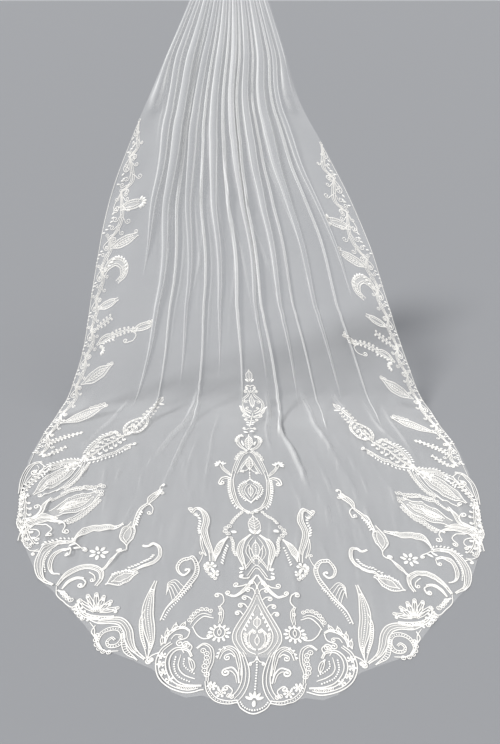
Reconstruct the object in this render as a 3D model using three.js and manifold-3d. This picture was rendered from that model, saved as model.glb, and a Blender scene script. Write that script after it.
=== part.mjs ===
// A bridal veil of one layer of tulle that hangs from a hair comb and ends in a round train.
// Millimetres. X is right, Y goes away from the viewer, Z is up, and the origin is the comb's middle.
import * as THREE from 'three';
import { mergeVertices } from 'three/addons/utils/BufferGeometryUtils.js';
import Module from 'manifold-3d';

const wasm = await Module();
wasm.setup();

// Where the veil hangs: the comb's height over the floor, and how far out the veil meets the floor
const FLOOR_DROP = 1650;
const FLOOR_REACH = 250;
const BEND_RADIUS = 120;

// Half the width of the flat cut, and half the width that it spreads to on the floor
const FLAT_HALF = 800;
const SPREAD_HALF = 785;

// Thickness of the tulle and of the lace, and the gap between them
const TULLE_WALL = 1.2;
const LACE_WALL = 1.1;
const LACE_LIFT = 0.4;

// Steepest slope of a fold's side, in radians, and where on the floor the folds die out
const CREASE_AT_COMB = 1.2;
const CREASE_MOST = 1.85;
const CREASE_FULL_AT = 360;
const FOLDS_END = 200;

// Facets: columns in a fold, samples of its curve, and how flat a dropped vertex must lie
const COLUMNS_PER_FOLD = 5;
const FINE = 25;
const FLATNESS = 0.08;

// Comb and binding
const COMB_WIDTH = 96;
const COMB_BAR = 7;
const COMB_THICK = 2.4;
const COMB_TEETH = 20;
const TOOTH_LENGTH = 42;
const TOOTH_WIDTH = 2;
const GATHER_DEPTH = 8;
const BINDING_WALL = 1.2;
const BINDING_DROP = 12;
const BINDING_WIDTH = 106;
const SEAM_GAP = 0.4;

// The veil runs straight from the comb to the floor line, then along the floor
const HANG = Math.hypot(FLOOR_DROP, FLOOR_REACH);
const LEAN = Math.atan2(FLOOR_REACH, FLOOR_DROP);
const TURN = Math.PI / 2 - LEAN;
const BEND_REACH = BEND_RADIUS * Math.tan(TURN / 2);
const BASE_Z = -FLOOR_DROP + TULLE_WALL / 2;

// Where the two selvedges lie, by the run along the veil from the comb
const SELVEDGES = [
  { run: 0, left: -50, right: 50 },
  { run: 180, left: -135, right: 125 },
  { run: 330, left: -210, right: 180 },
  { run: 490, left: -290, right: 235 },
  { run: 650, left: -370, right: 330 },
  { run: 825, left: -445, right: 430 },
  { run: 1005, left: -495, right: 515 },
  { run: 1195, left: -540, right: 585 },
  { run: 1395, left: -585, right: 660 },
  { run: 1605, left: -665, right: 750 },
  { run: 1680, left: -700, right: 790 },
  { run: 1780, left: -725, right: 815 },
  { run: 1920, left: -735, right: 835 },
  { run: 2020, left: -735, right: 835 },
  { run: 3020, left: -715, right: 855 },
];

// The folds from the left selvedge to the right one: cloth in each, and how deep it is
const FOLDS = [
  { cloth: 118, depth: 0.9 },
  { cloth: 132, depth: 1.05 },
  { cloth: 128, depth: 0.95 },
  { cloth: 112, depth: 1.05 },
  { cloth: 84, depth: 0.9 },
  { cloth: 96, depth: 1.05 },
  { cloth: 78, depth: 0.95 },
  { cloth: 74, depth: 1.05 },
  { cloth: 70, depth: 1 },
  { cloth: 82, depth: 0.95 },
  { cloth: 80, depth: 1.05 },
  { cloth: 84, depth: 0.9 },
  { cloth: 96, depth: 1.05 },
  { cloth: 122, depth: 0.95 },
  { cloth: 124, depth: 1.05 },
  { cloth: 120, depth: 0.85 },
];

// Half of the train's cut edge, by the distance from its centre line and from the floor line
const HEM = [
  { out: 0, down: 1330 },
  { out: 35, down: 1310 },
  { out: 80, down: 1305 },
  { out: 120, down: 1290 },
  { out: 165, down: 1295 },
  { out: 200, down: 1280 },
  { out: 235, down: 1235 },
  { out: 260, down: 1215 },
  { out: 315, down: 1190 },
  { out: 380, down: 1165 },
  { out: 410, down: 1135 },
  { out: 455, down: 1080 },
  { out: 545, down: 985 },
  { out: 600, down: 930 },
  { out: 640, down: 870 },
  { out: 695, down: 770 },
  { out: 715, down: 715 },
  { out: 745, down: 595 },
  { out: 770, down: 440 },
  { out: 785, down: 360 },
];

// The right side hangs lower than the left one, most of all above the floor
const SKEW = [
  { down: -1700, slant: 0 },
  { down: -1300, slant: 0.05 },
  { down: 300, slant: 0.045 },
  { down: 800, slant: 0.03 },
  { down: 1400, slant: 0.02 },
];

// How far the middle of the pattern strays to the right of the middle of the cut
const SWAY = [
  { down: -1300, right: 0 },
  { down: 0, right: 12 },
  { down: 250, right: 11 },
  { down: 600, right: 16 },
  { down: 680, right: 24 },
  { down: 890, right: 25 },
  { down: 1105, right: 19 },
  { down: 1208, right: 15 },
  { down: 1333, right: 3 },
];

// Rows of cloth from the comb to the floor folds' end, as runs from the comb
const ROWS_ABOVE = [0, 14, 70, 160, 270, 390, 520, 660, 820, 1000, 1200, 1400];
const ROWS_IN_BEND = 3;

function between(rows, key, value, name) {
  let i = 1;
  while (i < rows.length - 1 && value > rows[i][key]) i += 1;
  const t = (value - rows[i - 1][key]) / (rows[i][key] - rows[i - 1][key]);
  return THREE.MathUtils.lerp(rows[i - 1][name], rows[i][name], THREE.MathUtils.clamp(t, 0, 1));
}

// A smooth curve through a table's rows
function through(rows, key, value, name) {
  let i = 1;
  while (i < rows.length - 1 && value > rows[i][key]) i += 1;
  const slopeAt = (k) => {
    const before = rows[Math.max(k - 1, 0)];
    const after = rows[Math.min(k + 1, rows.length - 1)];
    return (after[name] - before[name]) / (after[key] - before[key]);
  };
  const span = rows[i][key] - rows[i - 1][key];
  const t = THREE.MathUtils.clamp((value - rows[i - 1][key]) / span, 0, 1);
  const startSlope = slopeAt(i - 1) * span;
  const endSlope = slopeAt(i) * span;
  return (2 * t ** 3 - 3 * t ** 2 + 1) * rows[i - 1][name]
    + (t ** 3 - 2 * t ** 2 + t) * startSlope
    + (3 * t ** 2 - 2 * t ** 3) * rows[i][name]
    + (t ** 3 - t ** 2) * endSlope;
}

// Mean of cos(a sin t) over a turn: how narrow folds of that steepness draw the cloth
function narrowing(steepness) {
  const steps = 48;
  let sum = 0;
  for (let i = 0; i < steps; i += 1) {
    sum += Math.cos(steepness * Math.sin(2 * Math.PI * (i + 0.5) / steps));
  }
  return sum / steps;
}

function steepnessFor(ratio) {
  let low = 0;
  let high = 2.4;
  for (let i = 0; i < 40; i += 1) {
    const middle = (low + high) / 2;
    if (narrowing(middle) > ratio) low = middle;
    else high = middle;
  }
  return (low + high) / 2;
}

// The middle line seen from the side, with its outward direction
function sideLine(down) {
  if (down >= BEND_REACH) {
    return { y: -FLOOR_REACH - down, z: BASE_Z, outY: 0, outZ: 1 };
  }
  if (down <= -BEND_REACH) {
    return {
      y: -FLOOR_REACH - down * Math.sin(LEAN),
      z: BASE_Z - down * Math.cos(LEAN),
      outY: -Math.cos(LEAN),
      outZ: Math.sin(LEAN),
    };
  }
  const angle = LEAN + TURN * (down + BEND_REACH) / (2 * BEND_REACH);
  const outY = -Math.cos(angle);
  const outZ = Math.sin(angle);
  return {
    y: -FLOOR_REACH - BEND_REACH - outY * BEND_RADIUS,
    z: BASE_Z + BEND_RADIUS - outZ * BEND_RADIUS,
    outY,
    outZ,
  };
}

// One level of the cloth: where each point of its width lies across and outward
function foldLine(down, samples) {
  const run = down + HANG;
  const left = through(SELVEDGES, 'run', run, 'left');
  const right = through(SELVEDGES, 'run', run, 'right');
  const most = THREE.MathUtils.lerp(
    CREASE_AT_COMB,
    CREASE_MOST,
    THREE.MathUtils.smoothstep(run, 0, CREASE_FULL_AT),
  );
  const ratio = (right - left) / (2 * FLAT_HALF);
  const fade = 1 - THREE.MathUtils.smoothstep(down, 0, FOLDS_END);
  const steepness = Math.min(steepnessFor(Math.min(ratio, 0.999)), most) * fade;
  const line = [{ across: 0, out: 0 }];
  for (const fold of FOLDS) {
    for (let i = 0; i < samples; i += 1) {
      const phase = 2 * Math.PI * (i + 0.5) / samples;
      const slope = steepness * fold.depth * Math.sin(phase);
      const last = line[line.length - 1];
      line.push({
        across: last.across + Math.cos(slope) * fold.cloth / samples,
        out: last.out + Math.sin(slope) * fold.cloth / samples,
      });
    }
  }
  const scale = (right - left) / line[line.length - 1].across;
  return line.map((point) => ({ x: left + point.across * scale, out: point.out * scale }));
}

const flatAt = [0];
for (const fold of FOLDS) {
  for (let i = 0; i < COLUMNS_PER_FOLD; i += 1) {
    flatAt.push(flatAt[flatAt.length - 1] + fold.cloth / COLUMNS_PER_FOLD);
  }
}
const COLUMNS = flatAt.map((flat) => (flat / FLAT_HALF - 1) * SPREAD_HALF);

// The sway dies out towards both selvedges
function swayed(across, down) {
  return across + between(SWAY, 'down', down, 'right') * (1 - (across / SPREAD_HALF) ** 2);
}

// The hem's points from left to right
const leftHem = HEM.slice(1).reverse().map(({ out, down }) => ({ across: swayed(-out, down), down }));
const rightHem = HEM.map(({ out, down }) => ({ across: swayed(out, down), down }));
const hemPoints = [...leftHem, ...rightHem];

function hemDown(across) {
  return between(hemPoints, 'across', across, 'down');
}

function skewed(across, down) {
  return down + across * between(SKEW, 'down', down, 'slant');
}

const rowDowns = ROWS_ABOVE.map((run) => run - HANG);
for (let i = 0; i <= ROWS_IN_BEND; i += 1) {
  rowDowns.push(BEND_REACH * (2 * i / ROWS_IN_BEND - 1));
}
rowDowns.push(FOLDS_END);

// Middle points of the cloth on the grid of rows and columns, with normals
function clothPoint(line, side, index) {
  const { x, out } = line[index];
  return new THREE.Vector3(x, side.y + side.outY * out, side.z + side.outZ * out);
}

const STEP = FINE / COLUMNS_PER_FOLD;
function clothRow(down) {
  const side = sideLine(down);
  const above = sideLine(down - 1);
  const below = sideLine(down + 1);
  const line = foldLine(down, FINE);
  const lineAbove = foldLine(down - 1, FINE);
  const lineBelow = foldLine(down + 1, FINE);
  return COLUMNS.map((across, column) => {
    const i = column * STEP;
    const next = Math.min(i + 1, line.length - 1);
    const back = Math.max(i - 1, 0);
    const alongX = clothPoint(line, side, next).sub(clothPoint(line, side, back));
    const alongDown = clothPoint(lineBelow, below, i).sub(clothPoint(lineAbove, above, i));
    const normal = alongDown.cross(alongX).normalize();
    return { across, down, point: clothPoint(line, side, i), normal };
  });
}

const grid = rowDowns.map(clothRow);
grid.push(COLUMNS.map((across) => {
  const down = skewed(across, hemDown(across));
  const left = through(SELVEDGES, 'run', down + HANG, 'left');
  const right = through(SELVEDGES, 'run', down + HANG, 'right');
  const x = (left + right) / 2 + across * (right - left) / (2 * SPREAD_HALF);
  return {
    across,
    down,
    point: new THREE.Vector3(x, -FLOOR_REACH - down, BASE_Z),
    normal: new THREE.Vector3(0, 0, 1),
  };
}));

// A geometry that keeps only the points that its faces use
function geometryOf(points, faces) {
  const order = new Map();
  const positions = [];
  const index = faces.flat().map((v) => {
    if (!order.has(v)) {
      order.set(v, order.size);
      positions.push(...points[v].toArray());
    }
    return order.get(v);
  });
  const geometry = new THREE.BufferGeometry();
  geometry.setAttribute('position', new THREE.Float32BufferAttribute(positions, 3));
  geometry.setIndex(index);
  geometry.computeVertexNormals();
  return geometry;
}

// A closed wall from a grid of points and normals
function wallGeometry(rows, inner, outer) {
  const height = rows.length;
  const width = rows[0].length;
  const positions = [];
  for (const lift of [outer, inner]) {
    for (const row of rows) {
      for (const spot of row) {
        positions.push(...spot.point.clone().addScaledVector(spot.normal, lift).toArray());
      }
    }
  }
  const index = [];
  const quad = (a, b, c, d) => index.push(a, b, c, a, c, d);
  const front = (j, i) => j * width + i;
  const back = (j, i) => height * width + j * width + i;
  for (let j = 0; j < height - 1; j += 1) {
    for (let i = 0; i < width - 1; i += 1) {
      quad(front(j, i), front(j + 1, i), front(j + 1, i + 1), front(j, i + 1));
      quad(back(j, i), back(j, i + 1), back(j + 1, i + 1), back(j + 1, i));
    }
    quad(front(j, 0), back(j, 0), back(j + 1, 0), front(j + 1, 0));
    const end = width - 1;
    quad(front(j, end), front(j + 1, end), back(j + 1, end), back(j, end));
  }
  const foot = height - 1;
  for (let i = 0; i < width - 1; i += 1) {
    quad(front(0, i), front(0, i + 1), back(0, i + 1), back(0, i));
    quad(front(foot, i), back(foot, i), back(foot, i + 1), front(foot, i + 1));
  }
  const geometry = new THREE.BufferGeometry();
  geometry.setAttribute('position', new THREE.Float32BufferAttribute(positions, 3));
  geometry.setIndex(index);
  geometry.computeVertexNormals();
  return geometry;
}

// Flat lace: solids drawn in the cut's own plane, x across and y down, later laid on the cloth
function solidOf(geometry) {
  geometry.deleteAttribute('normal');
  geometry.deleteAttribute('uv');
  const merged = mergeVertices(geometry, 1e-4);
  return new wasm.Manifold(new wasm.Mesh({
    numProp: 3,
    vertProperties: new Float32Array(merged.attributes.position.array),
    triVerts: new Uint32Array(merged.index.array),
  }));
}

function plate(points, depth = LACE_WALL, raise = 0) {
  const shape = new THREE.Shape(points.map(([x, y]) => new THREE.Vector2(x, y)));
  const geometry = new THREE.ExtrudeGeometry(shape, { depth, bevelEnabled: false });
  geometry.translate(0, 0, raise);
  return solidOf(geometry);
}

function hole(points) {
  return plate(points, LACE_WALL + 2, -1);
}

function join(solids) {
  return solids.reduce((whole, solid) => whole.add(solid));
}

function cut(solid, holes) {
  return holes.reduce((whole, opening) => whole.subtract(opening), solid);
}

function oval(x, y, radiusX, radiusY, corners = 8, turn = 0) {
  const points = [];
  for (let i = 0; i < corners; i += 1) {
    const angle = turn + 2 * Math.PI * i / corners;
    points.push([x + radiusX * Math.cos(angle), y + radiusY * Math.sin(angle)]);
  }
  return points;
}

// A pointed oval between two points
function leafPoints(fromX, fromY, toX, toY, width, stations = 2) {
  const length = Math.hypot(toX - fromX, toY - fromY);
  const alongX = (toX - fromX) / length;
  const alongY = (toY - fromY) / length;
  const spot = (t, side) => {
    const half = side * width / 2 * Math.sin(Math.PI * t ** 0.85);
    return [fromX + alongX * t * length - alongY * half, fromY + alongY * t * length + alongX * half];
  };
  const points = [[fromX, fromY]];
  for (let i = 1; i <= stations; i += 1) points.push(spot(i / (stations + 1), -1));
  points.push([toX, toY]);
  for (let i = stations; i >= 1; i -= 1) points.push(spot(i / (stations + 1), 1));
  return points;
}

function leaf(fromX, fromY, toX, toY, width, open = 0.5) {
  const solid = plate(leafPoints(fromX, fromY, toX, toY, width));
  if (!open) return solid;
  const low = (1 - open) * 0.45;
  const high = low + open;
  return cut(solid, [hole(leafPoints(
    THREE.MathUtils.lerp(fromX, toX, low),
    THREE.MathUtils.lerp(fromY, toY, low),
    THREE.MathUtils.lerp(fromX, toX, high),
    THREE.MathUtils.lerp(fromY, toY, high),
    width * open,
    1,
  ))]);
}

// A flat cord through points, narrower at both ends
function stem(points, width, taper = 0.4, corners = points.length + 1) {
  const curve = new THREE.SplineCurve(points.map(([x, y]) => new THREE.Vector2(x, y)));
  const sides = [[], []];
  for (let i = 0; i <= corners; i += 1) {
    const t = i / corners;
    const spot = curve.getPoint(t);
    const along = curve.getTangent(t);
    const half = width / 2 * (taper + (1 - taper) * Math.sin(Math.PI * t));
    sides[0].push([spot.x - along.y * half, spot.y + along.x * half]);
    sides[1].push([spot.x + along.y * half, spot.y - along.x * half]);
  }
  return plate([...sides[0], ...sides[1].reverse()]);
}

// A cord that winds in to an eye
function scroll(x, y, radius, turns, start, width, way = 1) {
  const points = [];
  const steps = Math.round(turns * 7);
  for (let i = 0; i <= steps; i += 1) {
    const t = i / steps;
    const angle = start + way * 2 * Math.PI * turns * t;
    const reach = radius * (1 - 0.78 * t);
    points.push([x + reach * Math.cos(angle), y + reach * Math.sin(angle)]);
  }
  return stem(points, width, 0.8, steps);
}

function bead(x, y, radius, corners = 6) {
  return plate(oval(x, y, radius, radius, corners));
}

// A cord that swells into a row of beads
function beads(points, radius, width, count) {
  const curve = new THREE.SplineCurve(points.map(([x, y]) => new THREE.Vector2(x, y)));
  const sides = [[], []];
  for (let i = 0; i <= 2 * count; i += 1) {
    const spot = curve.getPoint(i / (2 * count));
    const along = curve.getTangent(i / (2 * count));
    const half = i % 2 ? radius : width / 2;
    sides[0].push([spot.x - along.y * half, spot.y + along.x * half]);
    sides[1].push([spot.x + along.y * half, spot.y - along.x * half]);
  }
  return plate([...sides[0], ...sides[1].reverse()]);
}

function ring(x, y, radiusX, radiusY, band, corners = 14) {
  return cut(plate(oval(x, y, radiusX, radiusY, corners)), [
    hole(oval(x, y, radiusX - band, radiusY - band, corners)),
  ]);
}

function flower(x, y, radius, petals, eye = 0.3) {
  const points = [];
  for (let i = 0; i < petals * 2; i += 1) {
    const reach = i % 2 ? radius * 0.62 : radius;
    const angle = Math.PI * i / petals - Math.PI / 2;
    points.push([x + reach * Math.cos(angle), y + reach * Math.sin(angle)]);
  }
  if (!eye) return plate(points);
  return cut(plate(points), [hole(oval(x, y, radius * eye, radius * eye, 5))]);
}

// Motifs on the centre line
const centreMotifs = {
  centre_spire: () => join([
    leaf(0, 84, 0, -192, 60, 0.6),
    leaf(8, 70, 54, -40, 24, 0),
    leaf(-8, 70, -54, -40, 24, 0),
    plate([[6, 60], [5, 84], [13, 97], [5, 110], [5, 190], [40, 162], [26, 206], [0, 226],
      [-26, 206], [-40, 162], [-5, 190], [-5, 110], [-13, 97], [-5, 84], [-6, 60]]),
  ]),
  centre_wreath: () => join([
    ring(0, 497, 66, 110, 19, 14),
    leaf(0, 398, 0, 250, 34),
    leaf(24, 404, 98, 318, 28),
    leaf(-24, 404, -98, 318, 28),
    leaf(58, 466, 108, 436, 20, 0),
    leaf(-58, 466, -108, 436, 20, 0),
    bead(0, 604, 15, 7),
  ]),
  wreath_pendant: () => join([
    leaf(0, 418, 0, 576, 46, 0.5),
    leaf(-3, 486, 26, 442, 18, 0),
    leaf(3, 486, -26, 442, 18, 0),
  ]),
  lotus_bud: () => join([
    leaf(0, 888, 0, 636, 56, 0.62),
    leaf(8, 874, 46, 742, 30, 0.5),
    leaf(-8, 874, -46, 742, 30, 0.5),
    stem([[0, 876], [34, 900], [54, 930], [64, 970]], 14, 0.7),
    stem([[0, 876], [-34, 900], [-54, 930], [-64, 970]], 14, 0.7),
  ]),
  hem_medallion: () => join([
    cut(plate([
      [0, 912], [24, 964], [46, 1026], [64, 1096], [54, 1150], [28, 1196], [12, 1222],
      [-12, 1222], [-28, 1196], [-54, 1150], [-64, 1096], [-46, 1026], [-24, 964],
    ]), [
      hole([[0, 946], [14, 980], [0, 1012], [-14, 980]]),
      hole([[24, 1014], [44, 1088], [30, 1062]]),
      hole([[-24, 1014], [-30, 1062], [-44, 1088]]),
      hole(oval(0, 1084, 24, 40, 8)),
      hole(oval(36, 1134, 9, 14, 4)),
      hole(oval(-36, 1134, 9, 14, 4)),
      hole(oval(0, 1164, 12, 18, 4)),
    ]),
    leaf(0, 1126, 0, 1052, 20, 0),
    stem([[18, 1204], [46, 1206], [70, 1190], [76, 1160]], 13, 0.8),
    stem([[-18, 1204], [-46, 1206], [-70, 1190], [-76, 1160]], 13, 0.8),
    stem([[6, 1212], [22, 1240], [50, 1248], [66, 1230]], 12, 0.8),
    stem([[-6, 1212], [-22, 1240], [-50, 1248], [-66, 1230]], 12, 0.8),
    plate([[10, 1214], [14, 1262], [36, 1284], [14, 1296], [0, 1324], [-14, 1296], [-36, 1284],
      [-14, 1262], [-10, 1214]]),
  ]),
};

// Motifs right of the centre line: each has a mirror copy on the left
const sideMotifs = {
  bead_arm: () => beads([[36, 622], [62, 656], [84, 704], [97, 760], [101, 846]], 9, 7, 6),
  rosette_drop: () => join([
    flower(98, 1102, 27, 6, 0.32),
    stem([[100, 1086], [102, 1040], [112, 1004], [106, 968]], 11, 0.9),
    leaf(103, 1036, 84, 1000, 14, 0),
    beads([[112, 1090], [130, 1046], [152, 1030], [172, 1044], [180, 1076]], 7.5, 6, 4),
    leaf(98, 1118, 98, 1160, 14, 0),
  ]),
  hem_roundel: () => join([
    ring(181, 1214, 58, 66, 11, 12),
    leaf(181, 1276, 174, 1166, 44, 0.5),
    stem([[178, 1176], [196, 1160], [206, 1184], [230, 1180]], 9, 1, 4),
    stem([[150, 1170], [148, 1216], [168, 1240]], 9, 0.8, 3),
  ]),
  hem_florets: () => join([
    beads([[126, 1150], [114, 1182], [106, 1216], [88, 1268]], 8, 6, 4),
    flower(84, 1272, 18, 5, 0),
  ]),
  scroll_plume: () => join([
    stem([[196, 636], [193, 690], [172, 736], [150, 780], [136, 830], [122, 884]], 11, 0.7, 8),
    scroll(178, 630, 20, 1, 0.3, 9, -1),
    flower(121, 894, 23, 5, 0.3),
    leaf(192, 692, 216, 652, 16, 0),
    leaf(174, 732, 208, 706, 16, 0),
    leaf(180, 720, 160, 680, 16, 0),
  ]),
  fern_scroll: () => join([
    scroll(199, 884, 34, 1.2, -0.3, 10, 1),
    stem([[176, 790], [198, 800], [222, 834], [232, 876], [232, 920], [222, 954]], 11, 0.6, 8),
    leaf(218, 834, 246, 808, 16, 0),
    leaf(226, 936, 248, 1000, 28, 0.5),
    leaf(222, 940, 228, 1050, 20, 0),
  ]),
  bead_leaf: () => {
    const slots = [];
    for (let i = 0; i < 4; i += 1) {
      const y = 990 + i * 40;
      slots.push(hole(oval(262, y, 6, 14, 4)), hole(oval(283, y, 6, 14, 4)));
    }
    return cut(plate(leafPoints(275, 926, 268, 1178, 46, 4)), slots);
  },
  hooked_leaf: () => join([
    stem([
      [330, 792], [314, 768], [292, 772], [282, 806], [286, 852], [312, 884], [340, 898],
    ], 11, 0.8, 9),
    leaf(318, 884, 420, 934, 42, 0.6),
    leaf(284, 838, 308, 814, 14, 0),
  ]),
  ribbon_leaf: () => join([
    leaf(357, 622, 368, 776, 44, 0.6),
    stem([[356, 640], [338, 606], [322, 560], [309, 520]], 10, 0.9, 4),
    leaf(311, 530, 304, 478, 22, 0),
    stem([[344, 622], [322, 612], [318, 592], [334, 582]], 8, 0.9, 5),
    leaf(362, 668, 430, 682, 22, 0),
    leaf(420, 679, 486, 700, 22, 0),
    leaf(476, 696, 540, 750, 22, 0),
  ]),
  star_flower: () => join([
    flower(458, 812, 31, 7, 0.28),
    beads([[384, 808], [404, 842], [432, 872]], 9, 7, 3),
    stem([[428, 868], [446, 856], [454, 834]], 9, 0.8, 3),
  ]),
  side_spire: () => join([
    leaf(432, 100, 386, -44, 50, 0.6),
    stem([
      [430, 86], [466, 150], [509, 215], [552, 292], [588, 360], [616, 430], [622, 510],
    ], 12, 0.8, 7),
    leaf(506, 206, 556, 166, 24, 0),
    leaf(514, 228, 456, 268, 24, 0),
    leaf(548, 288, 594, 268, 20, 0),
    leaf(552, 298, 506, 330, 20, 0),
    flower(588, 358, 28, 6, 0.3),
    leaf(612, 424, 712, 538, 30, 0.6),
    leaf(618, 452, 576, 470, 16, 0),
  ]),
  side_fan: () => join([
    leaf(648, 666, 496, 498, 62, 0.66),
    leaf(648, 662, 540, 632, 26, 0.5),
    leaf(652, 660, 618, 536, 26, 0.5),
    bead(652, 666, 15, 7),
    stem([[650, 670], [634, 706], [602, 724], [562, 714]], 12, 0.8),
    leaf(656, 668, 706, 690, 18, 0),
  ]),
  crescent: () => cut(plate([
    [500, 800], [524, 776], [556, 770], [590, 784], [614, 824], [616, 872], [596, 914], [548, 944],
    [568, 914], [582, 880], [582, 840], [568, 812], [546, 796],
  ]), [
    hole(oval(597, 852, 6, 20, 5)),
    hole(oval(572, 796, 13, 5, 4)),
    hole(oval(592, 900, 5, 10, 4)),
  ]),
  volute: () => join([
    scroll(462, 938, 27, 1.1, 0.5, 9, -1),
    stem([[484, 950], [500, 966], [534, 962]], 11, 0.9, 3),
    leaf(496, 960, 484, 884, 22, 0.5),
    leaf(512, 962, 530, 904, 18, 0),
    leaf(522, 960, 490, 1000, 16, 0),
  ]),
  hem_fan: () => {
    const tips = [[476, 1022], [452, 1058], [416, 1078], [380, 1066], [360, 1030]];
    const petals = tips.map(([x, y]) => leaf(412, 990, x, y, 22, 0.4));
    return join([...petals, bead(412, 990, 15, 7)]);
  },
  hem_wave: () => join([
    stem([
      [432, 1086], [404, 1098], [380, 1082], [350, 1076], [322, 1096], [304, 1136], [272, 1190],
    ], 13, 0.7, 10),
    scroll(362, 1120, 35, 1.1, -1.1, 10, 1),
    leaf(318, 1102, 302, 1072, 16, 0),
    leaf(300, 1144, 332, 1166, 16, 0),
  ]),
  edge_trim: () => {
    const outer = [[782, -1056], [782, -300], [781, 110], [774, 372]];
    const inner = [];
    for (let i = 0; i < 8; i += 1) {
      const y = 300 - i * 170;
      inner.push([762, y], [744, y - 60], [766, y - 110]);
    }
    const solids = [plate([...outer, ...inner])];
    const inward = [
      { y: -742, tipX: 652, tipY: -786 },
      { y: -622, tipX: 652, tipY: -680 },
      { y: -502, tipX: 664, tipY: -552 },
      { y: -382, tipX: 690, tipY: -440 },
    ];
    for (const { y, tipX, tipY } of inward) solids.push(leaf(770, y, tipX, tipY, 36, 0));
    return join(solids);
  },
  edge_spray: () => join([
    stem([[716, -236], [660, -284], [590, -326], [522, -350]], 10, 0.8, 3),
    leaf(648, -290, 634, -350, 20, 0),
    leaf(640, -296, 592, -268, 20, 0),
    stem([[716, -236], [722, -160], [722, -50]], 9, 0.9, 2),
    leaf(722, -152, 648, -190, 30, 0),
  ]),
  corner_palm: () => join([
    stem([[704, 120], [716, 210], [724, 300], [734, 380]], 10, 0.9, 3),
    leaf(706, 140, 608, 10, 42, 0.6),
    leaf(715, 206, 632, 180, 28, 0),
    leaf(724, 300, 668, 282, 24, 0),
  ]),
};

// Lace vertices split where they cross the cloth's own facets, so it can lie on them exactly
function splitMesh(mesh, level, active) {
  const { points, faces } = mesh;
  const side = points.map((point) => {
    const value = level(point);
    return Math.abs(value) < 1e-3 ? 0 : value;
  });
  const made = new Map();
  const edgeKey = (a, b) => (a < b ? `${a}_${b}` : `${b}_${a}`);
  for (const face of faces) {
    if (!active(face.map((i) => points[i]))) continue;
    for (let k = 0; k < 3; k += 1) {
      const a = face[k];
      const b = face[(k + 1) % 3];
      if (side[a] * side[b] >= 0 || made.has(edgeKey(a, b))) continue;
      const t = side[a] / (side[a] - side[b]);
      made.set(edgeKey(a, b), points.length);
      points.push(points[a].map((value, axis) => value + (points[b][axis] - value) * t));
    }
  }
  if (!made.size) return;
  const result = [];
  for (const face of faces) {
    const cuts = [0, 1, 2].map((k) => made.get(edgeKey(face[k], face[(k + 1) % 3])));
    const count = cuts.filter((entry) => entry !== undefined).length;
    if (count === 0) {
      result.push(face);
    } else if (count === 1) {
      const k = cuts.findIndex((entry) => entry !== undefined);
      const [a, b, c] = [face[k], face[(k + 1) % 3], face[(k + 2) % 3]];
      result.push([a, cuts[k], c], [cuts[k], b, c]);
    } else {
      const k = cuts.findIndex((entry) => entry === undefined);
      const [a, b, c] = [face[k], face[(k + 1) % 3], face[(k + 2) % 3]];
      const onBC = cuts[(k + 1) % 3];
      const onCA = cuts[(k + 2) % 3];
      result.push([a, b, onBC], [a, onBC, onCA], [onCA, onBC, c]);
    }
  }
  mesh.faces = result;
}

function splitOnCloth(mesh) {
  const downs = mesh.points.map((point) => point[1]);
  const lowest = Math.min(...downs);
  if (lowest >= FOLDS_END) return;
  const foldLevel = (face) => Math.min(...face.map((point) => point[1])) < FOLDS_END - 1e-3;
  splitMesh(mesh, (point) => point[1] - FOLDS_END, () => true);
  for (const down of rowDowns) splitMesh(mesh, (point) => point[1] - down, foldLevel);
  for (const across of COLUMNS) splitMesh(mesh, (point) => point[0] - across, foldLevel);
  const acrosses = mesh.points.map((point) => point[0]);
  const reach = [Math.min(...acrosses), Math.max(...acrosses)];
  for (let j = 0; j < rowDowns.length - 1; j += 1) {
    if (rowDowns[j + 1] < lowest) continue;
    for (let i = 0; i < COLUMNS.length - 1; i += 1) {
      if (COLUMNS[i + 1] < reach[0] || COLUMNS[i] > reach[1]) continue;
      const width = COLUMNS[i + 1] - COLUMNS[i];
      const height = rowDowns[j + 1] - rowDowns[j];
      splitMesh(
        mesh,
        (point) => (point[0] - COLUMNS[i]) / width - (point[1] - rowDowns[j]) / height,
        (face) => {
          const x = (face[0][0] + face[1][0] + face[2][0]) / 3;
          const y = (face[0][1] + face[1][1] + face[2][1]) / 3;
          return x > COLUMNS[i] && x < COLUMNS[i + 1] && y > rowDowns[j] && y < rowDowns[j + 1];
        },
      );
    }
  }
}

function cellOf(levels, value) {
  let i = 0;
  while (i < levels.length - 2 && value > levels[i + 1]) i += 1;
  return [i, (value - levels[i]) / (levels[i + 1] - levels[i])];
}

// A lace point on the cloth's facets, lifted off its outer face
function onCloth(across, down, lift) {
  if (down >= FOLDS_END) {
    const left = through(SELVEDGES, 'run', down + HANG, 'left');
    const right = through(SELVEDGES, 'run', down + HANG, 'right');
    const x = (left + right) / 2 + across * (right - left) / (2 * SPREAD_HALF);
    return new THREE.Vector3(x, -FLOOR_REACH - down, BASE_Z + lift);
  }
  const [i, s] = cellOf(COLUMNS, across);
  const [j, t] = cellOf(rowDowns, down);
  const corner = s > t ? grid[j][i + 1] : grid[j + 1][i];
  const weights = s > t
    ? [[grid[j][i], 1 - s], [corner, s - t], [grid[j + 1][i + 1], t]]
    : [[grid[j][i], 1 - t], [corner, t - s], [grid[j + 1][i + 1], s]];
  const place = new THREE.Vector3();
  for (const [spot, weight] of weights) {
    place.addScaledVector(spot.point, weight).addScaledVector(spot.normal, lift * weight);
  }
  return place;
}

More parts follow.
